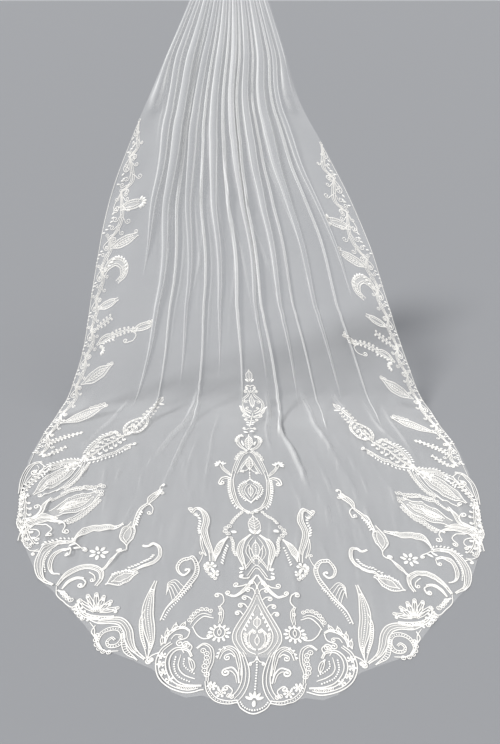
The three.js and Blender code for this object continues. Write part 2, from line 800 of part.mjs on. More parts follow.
// Drops each vertex that lies flat among its neighbours, which leaves the surface as it is
function thinOut(points, faces) {
  const around = points.map(() => new Set());
  faces.forEach((face, id) => face.forEach((v) => around[v].add(id)));
  const normalOf = (a, b, c) => b.clone().sub(a).cross(c.clone().sub(a));
  const neighbours = (v) => {
    const found = new Set();
    for (const id of around[v]) faces[id].forEach((other) => other !== v && found.add(other));
    return found;
  };
  const keepsSurface = (drop, keep) => {
    const shared = [...around[drop]].filter((id) => faces[id].includes(keep));
    const nearKeep = neighbours(keep);
    const common = [...neighbours(drop)].filter((v) => nearKeep.has(v));
    if (shared.length !== 2 || common.length !== 2) return false;
    return [...around[drop]].every((id) => {
      if (faces[id].includes(keep)) return true;
      const [a, b, c] = faces[id].map((v) => points[v]);
      const [d, e, f] = faces[id].map((v) => points[v === drop ? keep : v]);
      const before = normalOf(a, b, c).normalize();
      const after = normalOf(d, e, f);
      const longest = Math.max(d.distanceTo(e), e.distanceTo(f), f.distanceTo(d));
      return Math.abs(before.dot(points[keep].clone().sub(a))) < FLATNESS
        && after.length() > longest * FLATNESS
        && after.normalize().dot(before) > 0.99;
    });
  };
  let busy = true;
  while (busy) {
    busy = false;
    for (let drop = 0; drop < points.length; drop += 1) {
      for (const keep of around[drop].size ? neighbours(drop) : []) {
        if (!keepsSurface(drop, keep)) continue;
        for (const id of around[drop]) {
          if (faces[id].includes(keep)) {
            faces[id].forEach((v) => v !== drop && around[v].delete(id));
            faces[id] = null;
          } else {
            faces[id] = faces[id].map((v) => (v === drop ? keep : v));
            around[keep].add(id);
          }
        }
        around[drop].clear();
        busy = true;
        break;
      }
    }
  }
  return faces.filter((face) => face);
}

function layOnCloth(solid, mirror) {
  const { vertProperties, triVerts, numProp } = solid.getMesh();
  const mesh = { points: [], faces: [] };
  for (let i = 0; i < vertProperties.length; i += numProp) {
    const across = swayed(vertProperties[i] * mirror, vertProperties[i + 1]);
    const down = skewed(across, vertProperties[i + 1]);
    mesh.points.push([across, down, vertProperties[i + 2]]);
  }
  for (let i = 0; i < triVerts.length; i += 3) mesh.faces.push([...triVerts.slice(i, i + 3)]);
  splitOnCloth(mesh);
  const places = mesh.points.map(([across, down, height]) => (
    onCloth(across, down, TULLE_WALL / 2 + LACE_LIFT + height)
  ));
  const faces = thinOut(places, mesh.faces.map(([a, b, c]) => (mirror > 0 ? [a, c, b] : [a, b, c])));
  return geometryOf(places, faces);
}

// A plate that stands up, drawn from its front, x across and y up
function standing(points, depth) {
  const shape = new THREE.Shape(points.map(([x, y]) => new THREE.Vector2(x, y)));
  return new THREE.ExtrudeGeometry(shape, { depth, bevelEnabled: false });
}

// Comb: a bar with teeth, drawn from its front
function combGeometry() {
  const pitch = (COMB_WIDTH - TOOTH_WIDTH) / (COMB_TEETH - 1);
  const half = COMB_WIDTH / 2;
  const points = [[half, COMB_BAR - 2], [half - 2, COMB_BAR], [2 - half, COMB_BAR], [-half, COMB_BAR - 2]];
  for (let i = 0; i < COMB_TEETH; i += 1) {
    const x = -half + i * pitch;
    if (i > 0) points.push([x, 0]);
    points.push([x + TOOTH_WIDTH * 0.3, -TOOTH_LENGTH], [x + TOOTH_WIDTH * 0.7, -TOOTH_LENGTH]);
    if (i < COMB_TEETH - 1) points.push([x + TOOTH_WIDTH, 0]);
  }
  return standing(points, COMB_THICK);
}

// Satin binding: a ribbon folded over the gathered edge, seen as an upturned U from its end
function bindingGeometry() {
  const inner = GATHER_DEPTH / 2;
  const outer = inner + BINDING_WALL;
  const top = TULLE_WALL;
  const geometry = standing([
    [outer, -BINDING_DROP], [outer, top], [inner, top + BINDING_WALL], [-inner, top + BINDING_WALL],
    [-outer, top], [-outer, -BINDING_DROP], [-inner, -BINDING_DROP], [-inner, top], [inner, top],
    [inner, -BINDING_DROP],
  ], BINDING_WIDTH);
  geometry.rotateY(Math.PI / 2);
  geometry.translate(-BINDING_WIDTH / 2, 0, 0);
  geometry.rotateX(Math.PI / 2);
  return geometry;
}

const veil = new THREE.Group();

function addMesh(group, name, geometry, material) {
  const mesh = new THREE.Mesh(geometry, material);
  mesh.name = name;
  group.add(mesh);
  return mesh;
}

const tulle = new THREE.MeshStandardMaterial({ color: 0xf4f2ec, roughness: 0.85, metalness: 0 });
const lace = new THREE.MeshStandardMaterial({ color: 0xf8f4e8, roughness: 0.6, metalness: 0 });
const satin = new THREE.MeshStandardMaterial({ color: 0xf6f0e2, roughness: 0.4, metalness: 0 });
const moulded = new THREE.MeshStandardMaterial({ color: 0xe9e4da, roughness: 0.25, metalness: 0 });

// The comb and its binding lean with the gathered edge between them
const gatherYs = grid[0].map((spot) => spot.point.y);
const head = new THREE.Group();
head.position.y = (Math.min(...gatherYs) + Math.max(...gatherYs)) / 2;
head.rotation.x = -LEAN;
veil.add(head);
addMesh(head, 'comb_binding', bindingGeometry(), satin);
const comb = addMesh(head, 'hair_comb', combGeometry(), moulded);
comb.rotation.x = Math.PI / 2;
comb.position.y = GATHER_DEPTH / 2 + BINDING_WALL + SEAM_GAP + COMB_THICK;
comb.position.z = -BINDING_DROP / 2;

addMesh(veil, 'tulle_panel', wallGeometry(grid, -TULLE_WALL / 2, TULLE_WALL / 2), tulle);
for (const [name, draw] of Object.entries(centreMotifs)) {
  addMesh(veil, name, layOnCloth(draw(), 1), lace);
}
for (const [name, draw] of Object.entries(sideMotifs)) {
  addMesh(veil, `${name}_right`, layOnCloth(draw(), 1), lace);
  addMesh(veil, `${name}_left`, layOnCloth(draw(), -1), lace);
}

export default veil;
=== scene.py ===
"""A one-layer tulle bridal veil with a corded lace border, hung from a hair comb, its train on the floor.

Sizes are in millimetres until a mesh is made. Lace is drawn in the flat cut's plane, x across and y down,
and is then laid on the folded cloth. "Down" is counted from the line where the veil meets the floor, and
"run" from the comb.
"""
import math

import bpy
import numpy as np
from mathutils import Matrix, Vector
from mathutils.geometry import delaunay_2d_cdt


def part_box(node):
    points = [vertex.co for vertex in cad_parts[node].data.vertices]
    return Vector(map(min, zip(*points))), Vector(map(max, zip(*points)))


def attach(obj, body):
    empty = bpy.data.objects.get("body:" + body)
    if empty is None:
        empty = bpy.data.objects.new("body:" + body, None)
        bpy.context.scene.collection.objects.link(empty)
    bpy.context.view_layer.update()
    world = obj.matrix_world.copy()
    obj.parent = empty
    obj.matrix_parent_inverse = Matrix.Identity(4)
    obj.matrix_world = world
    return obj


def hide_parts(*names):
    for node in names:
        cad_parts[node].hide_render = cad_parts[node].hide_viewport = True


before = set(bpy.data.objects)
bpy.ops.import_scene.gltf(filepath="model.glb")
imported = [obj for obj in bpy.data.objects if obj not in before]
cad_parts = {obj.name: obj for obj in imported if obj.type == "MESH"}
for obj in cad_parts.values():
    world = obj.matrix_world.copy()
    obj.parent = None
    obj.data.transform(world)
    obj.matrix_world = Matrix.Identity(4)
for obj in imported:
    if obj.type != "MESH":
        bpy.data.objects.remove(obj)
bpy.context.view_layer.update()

# Where the veil hangs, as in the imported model
FLOOR_DROP = 1650
FLOOR_REACH = 250
BEND_RADIUS = 120
FLAT_HALF = 800
SPREAD_HALF = 785
TULLE_WALL = 1.2
LACE_LIFT = 0.9
HANG = math.hypot(FLOOR_DROP, FLOOR_REACH)
LEAN = math.atan2(FLOOR_REACH, FLOOR_DROP)
TURN = math.pi / 2 - LEAN
BEND_REACH = BEND_RADIUS * math.tan(TURN / 2)
BASE_Z = -FLOOR_DROP + TULLE_WALL / 2

# Fold steepness in radians, at the comb, below it, and at most
STEEP_AT_COMB = 1.25
STEEP_BELOW = 1.85
STEEPEST = 2.08

# Runs over which the folds steepen, change strength, drift, press flat and start to ripple
STEEPENING = (0, 360)
CHANGING = (200, 1300)
DRIFTING = (200, 1100)
PRESSING = (60, 300)
RIPPLING = (100, 600)

# How far a fold wanders, and the shares of its run at which it starts to fade and to lose its extra layers
WANDER = 3
FADING_SHARE = 0.7
LIFTING_SHARE = 0.5

# Slope of the soft ripple between the folds, and height of the one along the selvedges
RIPPLE = 0.18
SELVEDGE_RIPPLE = 4

# Where the train is wrinkled, how much of that is lost near the hem, and its patterns with start and height
ROUGHENING = (20, 240)
SMOOTHING = (700, 1150)
SMOOTHED = 0.7
WRINKLES = (
    ((5, 9, (70, 190), (260, 800)), 0, 4.5),
    ((8, 9, (26, 70), (120, 460)), 0.5, 4),
)

# Where the cloth lies flat along the selvedges: distance from the middle, and the runs where that begins,
# where the cloth is spread wider and where it no longer is, then its most spread
CALM_REACH = (640, 700)
CALMING = (330, 640)
OPENING = (400, 760)
CLOSING = (850, 1500)
OPEN_SPREAD = 0.94

# Where the folds have died out, how deep the cloth may sink inward near the floor, and where that ends
FOLDS_END = 260
DEEPEST = -26
SINKING = (-120, 120)

# How much of the view one layer of net covers, seen square on, and how much more it covers as the cloth turns
# away from the veil's front: that growth is painted brightening, bright streaks along the fold flanks fixed
# to the cloth
NET_COVER = 0.18
LEAST_FACING = 0.18
FACING_POWER = 1.4

# The fold in the middle, the least half widths of the bands where net lies in layers, and their soft edge
MAIN_FOLD = 7
MAIN_BAND = 22
LEAST_BAND = 8
BAND_EDGE = (0.85, 1.05)

# Steps of the cloth table, and of the tulle mesh: rows in the hang, towards the floor, and to the hem
ROW_STEP = 8
TULLE_COLUMNS = 600
HANGING_ROWS = (0, 1500, 24)
BENDING_ROWS = (1500, HANG + FOLDS_END, 14)
LOWER_ROWS = 66

# Widths of raised cord, radius of a bead, and the cord's half-round section as shares across and up
OUTLINE = 3.7
LINE = 2.9
INNER = 2.3
RING_CORD = 2.8
BEAD = 2.3
CORD_HEIGHT = 0.42
PROFILE = [(-1, 0), (-0.72, 0.72), (0, 1), (0.72, 0.72), (1, 0)]

# A satin dome's height as a share of its lesser radius, and its shoulder's width and height
DOME_HEIGHT = 0.6
DOME_SHOULDER = (0.68, 0.75)

# Turns and points of a curl's spiral, how far it closes, and its eye's radius as a share of the cord
CURL_TURNS = 1.1
CURL_STEPS = 16
CURL_CLOSING = 0.72
CURL_EYE = 0.72

# Ribbons wider than this are filled with net, which has this step and lies this much lower
NET_FROM = 18
NET_STEP = 10.0
NET_DROP = 0.35

# Where a pair of lines runs inside a ribbon, as a share of its half width
PAIRS = {"lines": 0.38, "rows": 0.5}

# Satin binding: width, half its depth, drop, where its fold starts and how high it is, how far its middle
# is down the comb's slope, the faces of its cloth and its pucker
BINDING_WIDTH = 105
BINDING_HALF = 4.5
BINDING_DROP = 11.8
BINDING_TOP = 0.6
BINDING_CROWN = 1.1
BINDING_MIDDLE = 4.8
BINDING_FACES = (0.5, -0.4)
PUCKER = 0.16

# Stitches in the binding: places along it, height, how far out, and the place and radius of each one's rings
STITCH_PLACES = np.arange(-50, 50.1, 4)
STITCH_Z = -9.4
STITCH_OUT = 0.62
STITCH_RINGS = ((-1.4, 0.12), (-1.0, 0.3), (1.0, 0.3), (1.4, 0.12))
STITCH_SIDES = 6

# Floor, wide enough to reach the top of the view, and camera, in metres and degrees
FLOOR_HALF = 4000
FLOOR_GAP = 0.5
CAMERA_PLACE = (0.065, -2.653, -0.177)
CAMERA_LENS = 33.87
LOOK_DOWN = 28

# Run from the comb, left selvedge, right selvedge
SELVEDGES = np.array([
    (0, -50, 50), (180, -135, 125), (330, -210, 180), (490, -290, 235), (650, -370, 330),
    (825, -445, 430), (1005, -495, 515), (1195, -540, 585), (1395, -585, 660), (1605, -665, 750),
    (1680, -700, 790), (1780, -725, 815), (1920, -735, 835), (2020, -735, 835), (3020, -715, 855),
], float)

# Cloth in each fold, its depth, its strength lower down, the run at which it has died out, and its drift
FOLDS = np.array([
    (118, 1.0, 0.6, 520, 0), (132, 0.95, 0.7, 1150, 16), (150, 0.9, 0.75, 1720, -30),
    (70, 1.12, 1.25, 1800, -45), (120, 0.88, 0.7, 1640, -55), (62, 1.12, 1.4, 1900, -50),
    (120, 0.88, 0.75, 1580, -48), (70, 1.12, 1.8, 1740, -36), (104, 0.88, 0.7, 1640, -14),
    (64, 1.12, 1.6, 2000, -42), (112, 0.88, 0.8, 1700, -25), (60, 1.12, 1.3, 1900, -25),
    (132, 0.9, 0.75, 1680, -10), (72, 1.12, 1.25, 1840, 10), (94, 0.95, 0.8, 1280, 10),
    (120, 1.0, 0.6, 520, 0),
], float)
# Folds that lie pressed flat, and how many more layers of net show in them
PRESSED = {2: 0.35, 3: 0.5, 5: 1.1, 6: 0.3, 7: 2.0, 8: 0.9, 9: 1.4, 10: 0.4, 11: 1.0, 12: 0.3, 13: 0.5}
FOLD_CENTRES = np.cumsum(FOLDS[:, 0]) - FOLDS[:, 0] / 2

# Distance from the centre line, and the cut edge's distance from the floor line
HEM = np.array([
    (0, 1330), (35, 1310), (80, 1305), (120, 1290), (165, 1295), (200, 1280), (235, 1235), (260, 1215),
    (315, 1190), (380, 1165), (410, 1135), (455, 1080), (545, 985), (600, 930), (640, 870), (695, 770),
    (715, 715), (745, 595), (770, 440), (785, 360),
], float)

# The right side hangs lower than the left one
SKEW = np.array([(-1700, 0), (-1300, 0.05), (300, 0.045), (800, 0.03), (1400, 0.02)], float)

# Narrow creases and floor ridges: height, half width, then (across, down) points
RIDGES = [
    (6, 5, [(-700, -1560), (-676, -1180), (-650, -860)]),
    (7, 5, [(-545, -1600), (-530, -1100), (-552, -460)]),
    (6, 4.5, [(-420, -1480), (-405, -900), (-432, -260)]),
    (7, 5, [(-318, -1300), (-306, -700), (-344, 60)]),
    (6, 4.5, [(-215, -1500), (-222, -900), (-204, -160)]),
    (7, 5, [(-134, -1240), (-128, -600), (-152, 160)]),
    (6, 4.5, [(-52, -1500), (-50, -800), (-42, -220)]),
    (7, 5, [(24, -1320), (18, -700), (38, 90)]),
    (6, 4.5, [(92, -1500), (98, -900), (84, -380)]),
    (7, 5, [(168, -1260), (176, -600), (194, 160)]),
    (6, 4.5, [(250, -1500), (244, -800), (264, -100)]),
    (7, 5, [(334, -1360), (328, -760), (360, -40)]),
    (6, 4.5, [(428, -1500), (438, -900), (424, -380)]),
    (7, 5, [(522, -1420), (544, -800), (576, -160)]),
    (6, 4.5, [(566, -1500), (584, -1140), (604, -760)]),
    (6, 4.5, [(668, -1560), (656, -1180), (640, -880)]),
    (9, 4.5, [(-40, -1420), (14, -900), (96, -300), (128, -60)]),
    (9, 4.5, [(120, -1380), (170, -900), (292, -260)]),
    (8, 4.5, [(-120, -1400), (-176, -900), (-282, -160)]),
    (8, 4.5, [(-330, -1420), (-372, -1000), (-492, -300)]),
    (8, 4.5, [(300, -1400), (392, -900), (470, -300)]),
    (8, 4.5, [(40, -1100), (-16, -620), (-64, -200)]),
    (19, 8, [(-236, -160), (-262, 90), (-330, 300), (-372, 440)]),
    (17, 7, [(-205, -160), (-216, 90), (-252, 300), (-300, 580)]),
    (12, 7, [(-512, -100), (-560, 90), (-640, 320)]),
    (13, 7, [(-392, -160), (-420, 100), (-470, 280)]),
    (9, 8, [(-120, -40), (-128, 260), (-150, 640)]),
    (20, 8, [(112, -160), (128, 90), (180, 310), (232, 580)]),
    (14, 7, [(70, -160), (78, 120), (104, 350)]),
    (13, 8, [(250, -160), (286, 120), (352, 440)]),
    (15, 8, [(392, -160), (440, 120), (512, 350)]),
    (12, 8, [(600, -100), (600, 120), (618, 380)]),
    (11, 7, [(500, -100), (540, 120), (610, 320)]),
    (7, 9, [(20, 20), (24, 220), (10, 400)]),
    (7, 9, [(-330, 420), (-388, 640), (-420, 860)]),
    (7, 9, [(300, 430), (352, 660), (372, 840)]),
    (5, 11, [(-60, 580), (-150, 760), (-190, 1000)]),
    (8, 8, [(150, 180), (196, 380), (216, 560)]),
    (8, 8, [(-172, 120), (-204, 340), (-214, 520)]),
]

# The pattern's centre line drifts to the right between the floor line and the hem
SWAY = np.array([
    (-1300, 0), (0, 12), (250, 11), (600, 16), (680, 24), (890, 25), (1105, 19), (1208, 15), (1333, 3),
], float)

# Ridges that start above this are creases of the hanging folds, and drift with them
CREASES_ABOVE = -500
RIDGE_RISE = 140


def smoothstep(value, low, high):
    t = np.clip((value - low) / (high - low), 0, 1)
    return t * t * (3 - 2 * t)


def through(rows, column, value):
    """A smooth curve through one column of a table."""
    keys = rows[:, 0]
    values = rows[:, column]
    slopes = np.empty(len(keys))
    slopes[1:-1] = (values[2:] - values[:-2]) / (keys[2:] - keys[:-2])
    slopes[0] = (values[1] - values[0]) / (keys[1] - keys[0])
    slopes[-1] = (values[-1] - values[-2]) / (keys[-1] - keys[-2])
    i = np.clip(np.searchsorted(keys, value), 1, len(keys) - 1)
    span = keys[i] - keys[i - 1]
    t = np.clip((value - keys[i - 1]) / span, 0, 1)
    return (
        (2 * t**3 - 3 * t**2 + 1) * values[i - 1]
        + (t**3 - 2 * t**2 + t) * slopes[i - 1] * span
        + (3 * t**2 - 2 * t**3) * values[i]
        + (t**3 - t**2) * slopes[i] * span
    )


def flat_at(across):
    """Distance along the flat cut from its left selvedge, for a place across the spread veil."""
    return (across / SPREAD_HALF + 1) * FLAT_HALF


def across_at(flat):
    """Place across the spread veil, for a distance along the flat cut."""
    return (flat / FLAT_HALF - 1) * SPREAD_HALF


def swayed(across, down):
    return across + np.interp(down, SWAY[:, 0], SWAY[:, 1]) * (1 - (across / SPREAD_HALF) ** 2)


HEM_DOWNS = np.concatenate([HEM[:0:-1, 1], HEM[:, 1]])
HEM_ACROSS = swayed(np.concatenate([-HEM[:0:-1, 0], HEM[:, 0]]), HEM_DOWNS)


def skewed(across, down):
    return down + across * np.interp(down, SKEW[:, 0], SKEW[:, 1])


def laid(across, down):
    """Where a point of the pattern lies on the cut."""
    across = swayed(across, down)
    return across, skewed(across, down)


def waves(seed, count, x_lengths, y_lengths):
    """A smooth, uneven function of two arrays, about -1 to 1, the same each run."""
    rng = np.random.default_rng(seed)
    kx = 2 * math.pi / rng.uniform(*x_lengths, count) * rng.choice([-1, 1], count)
    ky = 2 * math.pi / rng.uniform(*y_lengths, count) * rng.choice([-1, 1], count)
    shift = rng.uniform(0, 2 * math.pi, count)

    def value(x, y):
        total = 0
        for a, b, c in zip(kx, ky, shift):
            total = total + np.sin(a * x + b * y + c)
        return total / math.sqrt(count)

    return value


# The whole cloth as one table of points: rows down the veil, columns across the flat cut
TABLE_DOWNS = np.arange(-HANG, 1440, ROW_STEP)
TABLE_FLATS = np.linspace(0, 2 * FLAT_HALF, 801)
FLAT_STEP = TABLE_FLATS[1] - TABLE_FLATS[0]


def side_line(down):
    """The middle line seen from the side: y, z and the outward direction."""
    angle = LEAN + TURN * np.clip((down + BEND_REACH) / (2 * BEND_REACH), 0, 1)
    out_y = -np.cos(angle)
    out_z = np.sin(angle)
    y = -FLOOR_REACH - BEND_REACH - out_y * BEND_RADIUS
    z = BASE_Z + BEND_RADIUS - out_z * BEND_RADIUS
    floor = down >= BEND_REACH
    above = down <= -BEND_REACH
    y = np.where(floor, -FLOOR_REACH - down, np.where(above, -FLOOR_REACH - down * math.sin(LEAN), y))
    z = np.where(floor, BASE_Z, np.where(above, BASE_Z - down * math.cos(LEAN), z))
    return y, z, out_y, out_z


def drift(flat, run):
    """How far a fold has moved over the cloth at this run, so that it falls in a straight line."""
    return np.interp(flat, FOLD_CENTRES, FOLDS[:, 4]) * smoothstep(run, *DRIFTING)


def relief(across, down):
    """How far the cloth stands out in creases, ridges and soft wrinkles."""
    total = np.zeros(np.broadcast(across, down).shape)
    for height, half, points in RIDGES:
        downs = [point[1] for point in points]
        middle = np.interp(down, downs, [point[0] for point in points])
        start, end = downs[0], downs[-1]
        if start < CREASES_ABOVE:
            middle = middle + drift(flat_at(middle), down + HANG)
        ends = smoothstep(down, start, start + RIDGE_RISE) * (1 - smoothstep(down, (start + end) / 2, end))
        total += height * ends * np.exp(-(((across - middle) / half) ** 2))
    rough = smoothstep(down, *ROUGHENING) * (1 - SMOOTHED * smoothstep(down, *SMOOTHING))
    wrinkles = sum(
        np.maximum(0, waves(*pattern)(across, down) - start) * height for pattern, start, height in WRINKLES
    )
    return total + rough * wrinkles


def calm_at(across, run):
    """1 where the cloth lies flat along the selvedges, 0 among the folds."""
    return smoothstep(np.abs(across), *CALM_REACH) * smoothstep(run, *CALMING)


def fold_slopes(run, target, flat):
    """The slope of the cloth across each row, and how many more layers of net lie there.

    The folds narrow lower down and leave flat panels. In each row they take up the target length of cloth.
    """
    angles = np.linspace(0, 2.4, 241)
    turns = np.sin(2 * math.pi * (np.arange(48) + 0.5) / 48)
    narrowing = np.cos(angles[:, None] * turns[None, :]).mean(axis=1)
    cloth, depth, strength_below, last_run = FOLDS.T[:4]
    calm = calm_at(across_at(FOLD_CENTRES), run)
    most = STEEP_AT_COMB + (STEEP_BELOW - STEEP_AT_COMB) * smoothstep(run, *STEEPENING)
    steep = np.minimum(most * depth, STEEPEST) * (1 - calm)
    lower = smoothstep(run, *CHANGING)
    strength = (1 + (strength_below - 1) * lower) * (1 - smoothstep(run, last_run * FADING_SHARE, last_run))
    uptake = cloth * (1 - np.interp(steep, angles, narrowing))
    low = np.zeros_like(run)
    high = np.full_like(run, 30)
    for _ in range(40):
        middle = (low + high) / 2
        taken = (np.minimum(middle * strength, 1) * uptake).sum(axis=1, keepdims=True)
        low = np.where(taken < target, middle, low)
        high = np.where(taken < target, high, middle)
    halves = np.maximum(np.minimum(high * strength, 1) * cloth / 2, 0.01)
    slope = np.zeros((len(run), flat.shape[1]))
    bunched = np.zeros_like(slope)
    for k, centre in enumerate(FOLD_CENTRES):
        wander = WANDER * waves(20 + k, 4, (1, 2), (1200, 2800))(np.zeros_like(run), run) * lower
        away = flat - centre - wander - drift(centre, run)
        half = halves[:, k:k + 1]
        slope -= steep[:, k:k + 1] * np.sign(away) * np.sin(math.pi * np.minimum(np.abs(away) / half, 1))
        extra = PRESSED.get(k, 0) * smoothstep(run, *PRESSING)
        extra = extra * (1 - smoothstep(run, last_run[k] * LIFTING_SHARE, last_run[k]))
        wide = np.maximum(half, MAIN_BAND if k == MAIN_FOLD else LEAST_BAND)
        bunched += extra * (1 - smoothstep(np.abs(away), wide * BAND_EDGE[0], wide * BAND_EDGE[1]))
    return slope, bunched


def summed(values):
    """The running sum along each row, from 0, of values a column's step apart."""
    steps = (values[:, 1:] + values[:, :-1]) * FLAT_STEP / 2
    return np.concatenate([np.zeros((len(values), 1)), np.cumsum(steps, axis=1)], axis=1)


def cloth_table():
    """Points, normals, how squarely each faces outward, and extra layers of net, row by row."""
    down = TABLE_DOWNS[:, None]
    flat = TABLE_FLATS[None, :]
    run = down + HANG
    left = through(SELVEDGES, 1, run[:, 0])[:, None]
    right = through(SELVEDGES, 2, run[:, 0])[:, None]
    ratio = np.minimum((right - left) / (2 * FLAT_HALF), 0.999)
    across = across_at(flat)
    calm = calm_at(across, run)
    open_flat = smoothstep(run, *OPENING) * (1 - smoothstep(run, *CLOSING))
    spread = ratio + (OPEN_SPREAD - ratio) * open_flat
    calm_cloth = calm.mean(axis=1, keepdims=True) * 2 * FLAT_HALF
    target = (1 - ratio) * 2 * FLAT_HALF - (1 - spread) * calm_cloth
    fade = 1 - smoothstep(down, 0, FOLDS_END)
    slope, bunched = fold_slopes(run, target, flat)
    slope *= fade
    ripple = RIPPLE * waves(4, 6, (240, 560), (900, 2400))(flat, down) * smoothstep(run, *RIPPLING)
    slope += ripple * (1 - calm) * fade
    width = summed(np.cos(slope) * (1 - calm) + spread * calm)
    out = summed(np.sin(slope))
    out -= out[:, -1:] * flat / (2 * FLAT_HALF)
    scale = (right - left) / width[:, -1:]
    x = left + width * scale
    out = out * scale + relief(across, down) * np.minimum(scale, 1)
    out += SELVEDGE_RIPPLE * waves(9, 5, (90, 260), (200, 640))(flat, down) * calm * fade
    out = np.where(down > SINKING[0], np.maximum(out, DEEPEST * (1 - smoothstep(down, *SINKING))), out)
    y, z, out_y, out_z = side_line(down)
    points = np.stack([x, y + out_y * out, z + out_z * out], axis=2)
    normals = np.cross(np.gradient(points, axis=0), np.gradient(points, axis=1))
    normals /= np.linalg.norm(normals, axis=2, keepdims=True)
    outward = np.stack([np.zeros_like(out_y), out_y, out_z], axis=2)
    facing = np.abs((normals * outward).sum(axis=2))
    return points, normals, facing, bunched * fade


TABLE, NORMALS, FACING, BUNCHED = cloth_table()


def looked_up(table, across, down):
    """Bilinear values of a table at points of the cut."""
    column = np.clip(flat_at(across) / FLAT_STEP, 0, len(TABLE_FLATS) - 1.001)
    row = np.clip((down + HANG) / ROW_STEP, 0, len(TABLE_DOWNS) - 1.001)
    i = column.astype(int)
    j = row.astype(int)
    s = column - i
    t = row - j
    if table.ndim == 3:
        s = s[..., None]
        t = t[..., None]
    top = table[j, i] * (1 - s) + table[j, i + 1] * s
    foot = table[j + 1, i] * (1 - s) + table[j + 1, i + 1] * s
    return top * (1 - t) + foot * t


def on_cloth(across, down, lift):
    normals = looked_up(NORMALS, across, down)
    normals /= np.linalg.norm(normals, axis=-1, keepdims=True)
    return (looked_up(TABLE, across, down) + normals * lift[..., None]) / 1000


# Materials
def new_material(name, colour, roughness, **finish):
    material = bpy.data.materials.new(name)
    material.use_nodes = True
    shader = material.node_tree.nodes["Principled BSDF"]
    shader.inputs["Base Color"].default_value = (*colour, 1)
    shader.inputs["Roughness"].default_value = roughness
    for socket, value in finish.items():
        shader.inputs[socket.replace("_", " ")].default_value = value
    return material, material.node_tree, shader


def add(tree, kind, **settings):
    node = tree.nodes.new(kind)
    for key, value in settings.items():
        if key in node.inputs:
            node.inputs[key].default_value = value
        else:
            setattr(node, key, value)
    return node


def texture(tree, kind, space="UV", **settings):
    node = add(tree, "ShaderNodeTex" + kind, **settings)
    tree.links.new(add(tree, "ShaderNodeTexCoord").outputs[space], node.inputs["Vector"])
    return node


def bands(tree, direction, scale, distortion):
    return texture(
        tree, "Wave", wave_type="BANDS", bands_direction=direction, Scale=scale, Distortion=distortion,
    ).outputs["Fac"]


def cells(tree, scale):
    return texture(tree, "Voronoi", feature="DISTANCE_TO_EDGE", Scale=scale).outputs["Distance"]


def cloud(tree, scale, detail, space="UV"):
    return texture(tree, "Noise", space, Scale=scale, Detail=detail).outputs["Fac"]


def math_node(tree, operation, first, second, clamp=False):
    node = add(tree, "ShaderNodeMath", operation=operation, use_clamp=clamp)
    for socket, value in zip(node.inputs, (first, second)):
        if isinstance(value, (int, float)):
            socket.default_value = value
        else:
            tree.links.new(value, socket)
    return node.outputs[0]


def raise_by(tree, shader, height, strength, distance):
    bump = add(tree, "ShaderNodeBump", Strength=strength, Distance=distance)
    tree.links.new(height, bump.inputs["Height"])
    tree.links.new(bump.outputs["Normal"], shader.inputs["Normal"])


def shade_by(tree, shader, share, dark, light):
    ramp = add(tree, "ShaderNodeValToRGB")
    ramp.color_ramp.elements[0].color = (*dark, 1)
    ramp.color_ramp.elements[1].color = (*light, 1)
    tree.links.new(share, ramp.inputs["Fac"])
    tree.links.new(ramp.outputs["Color"], shader.inputs["Base Color"])


def tulle_material():
    material, tree, shader = new_material(
        "tulle_net", (0.95, 0.95, 0.935), 0.8, Sheen_Weight=0.3, Sheen_Roughness=0.5,
    )
    # Alpha read from the mesh: one layer's cover of net and its extra pressed layers, with painted bright
    # streaks along the fold flanks
    cover_and_painted_streaks = add(tree, "ShaderNodeAttribute", attribute_name="cover_and_painted_streaks").outputs["Fac"]
    thread = math_node(tree, "SUBTRACT", 1.18, math_node(tree, "MULTIPLY", cells(tree, 620.0), 1.3))
    mottle = math_node(tree, "ADD", math_node(tree, "MULTIPLY", cloud(tree, 5.0, 4.0), 0.5), 0.75)
    pattern = math_node(tree, "MULTIPLY", thread, mottle)
    tree.links.new(math_node(tree, "MULTIPLY", cover_and_painted_streaks, pattern, True), shader.inputs["Alpha"])
    return material


def thread_material(name, colour, roughness, wave, bump, groove_shade_and_crest_light, **finish):
    """Raised thread: bands in relief, coloured darker in their grooves as painted shade and lighter on their
    crests as painted highlight.
    """
    material, tree, shader = new_material(name, colour, roughness, **finish)
    twist = bands(tree, *wave)
    raise_by(tree, shader, twist, *bump)
    # Painted shade in the grooves and painted highlight on the crests, from the same bands as the relief
    shade_by(tree, shader, twist, *groove_shade_and_crest_light)
    return material


def net_material():
    material, tree, shader = new_material("lace_net", (0.9, 0.885, 0.85), 0.7)
    thread = math_node(tree, "SUBTRACT", 0.3, math_node(tree, "MULTIPLY", cells(tree, 420.0), 0.6), True)
    tree.links.new(thread, shader.inputs["Alpha"])
    return material


def ribbon_material():
    material, tree, shader = new_material(
        "satin_ribbon", (0.93, 0.915, 0.87), 0.3, Anisotropic=0.6, Sheen_Weight=0.3,
    )
    raise_by(tree, shader, bands(tree, "X", 900.0, 3.0), 0.25, 0.0001)
    shade_by(tree, shader, cloud(tree, 140.0, 3.0), (0.86, 0.84, 0.79), (0.96, 0.95, 0.91))
    return material


def comb_material():
    material, tree, shader = new_material("comb_resin", (0.86, 0.85, 0.82), 0.22, Coat_Weight=0.35)
    grain = cloud(tree, 900.0, 2.0, "Object")
    shade_by(tree, shader, cloud(tree, 45.0, 4.0, "Object"), (0.78, 0.765, 0.73), (0.9, 0.89, 0.865))
    raise_by(tree, shader, grain, 0.2, 0.0001)
    gloss = math_node(tree, "ADD", math_node(tree, "MULTIPLY", grain, 0.16), 0.14)
    tree.links.new(gloss, shader.inputs["Roughness"])
    return material


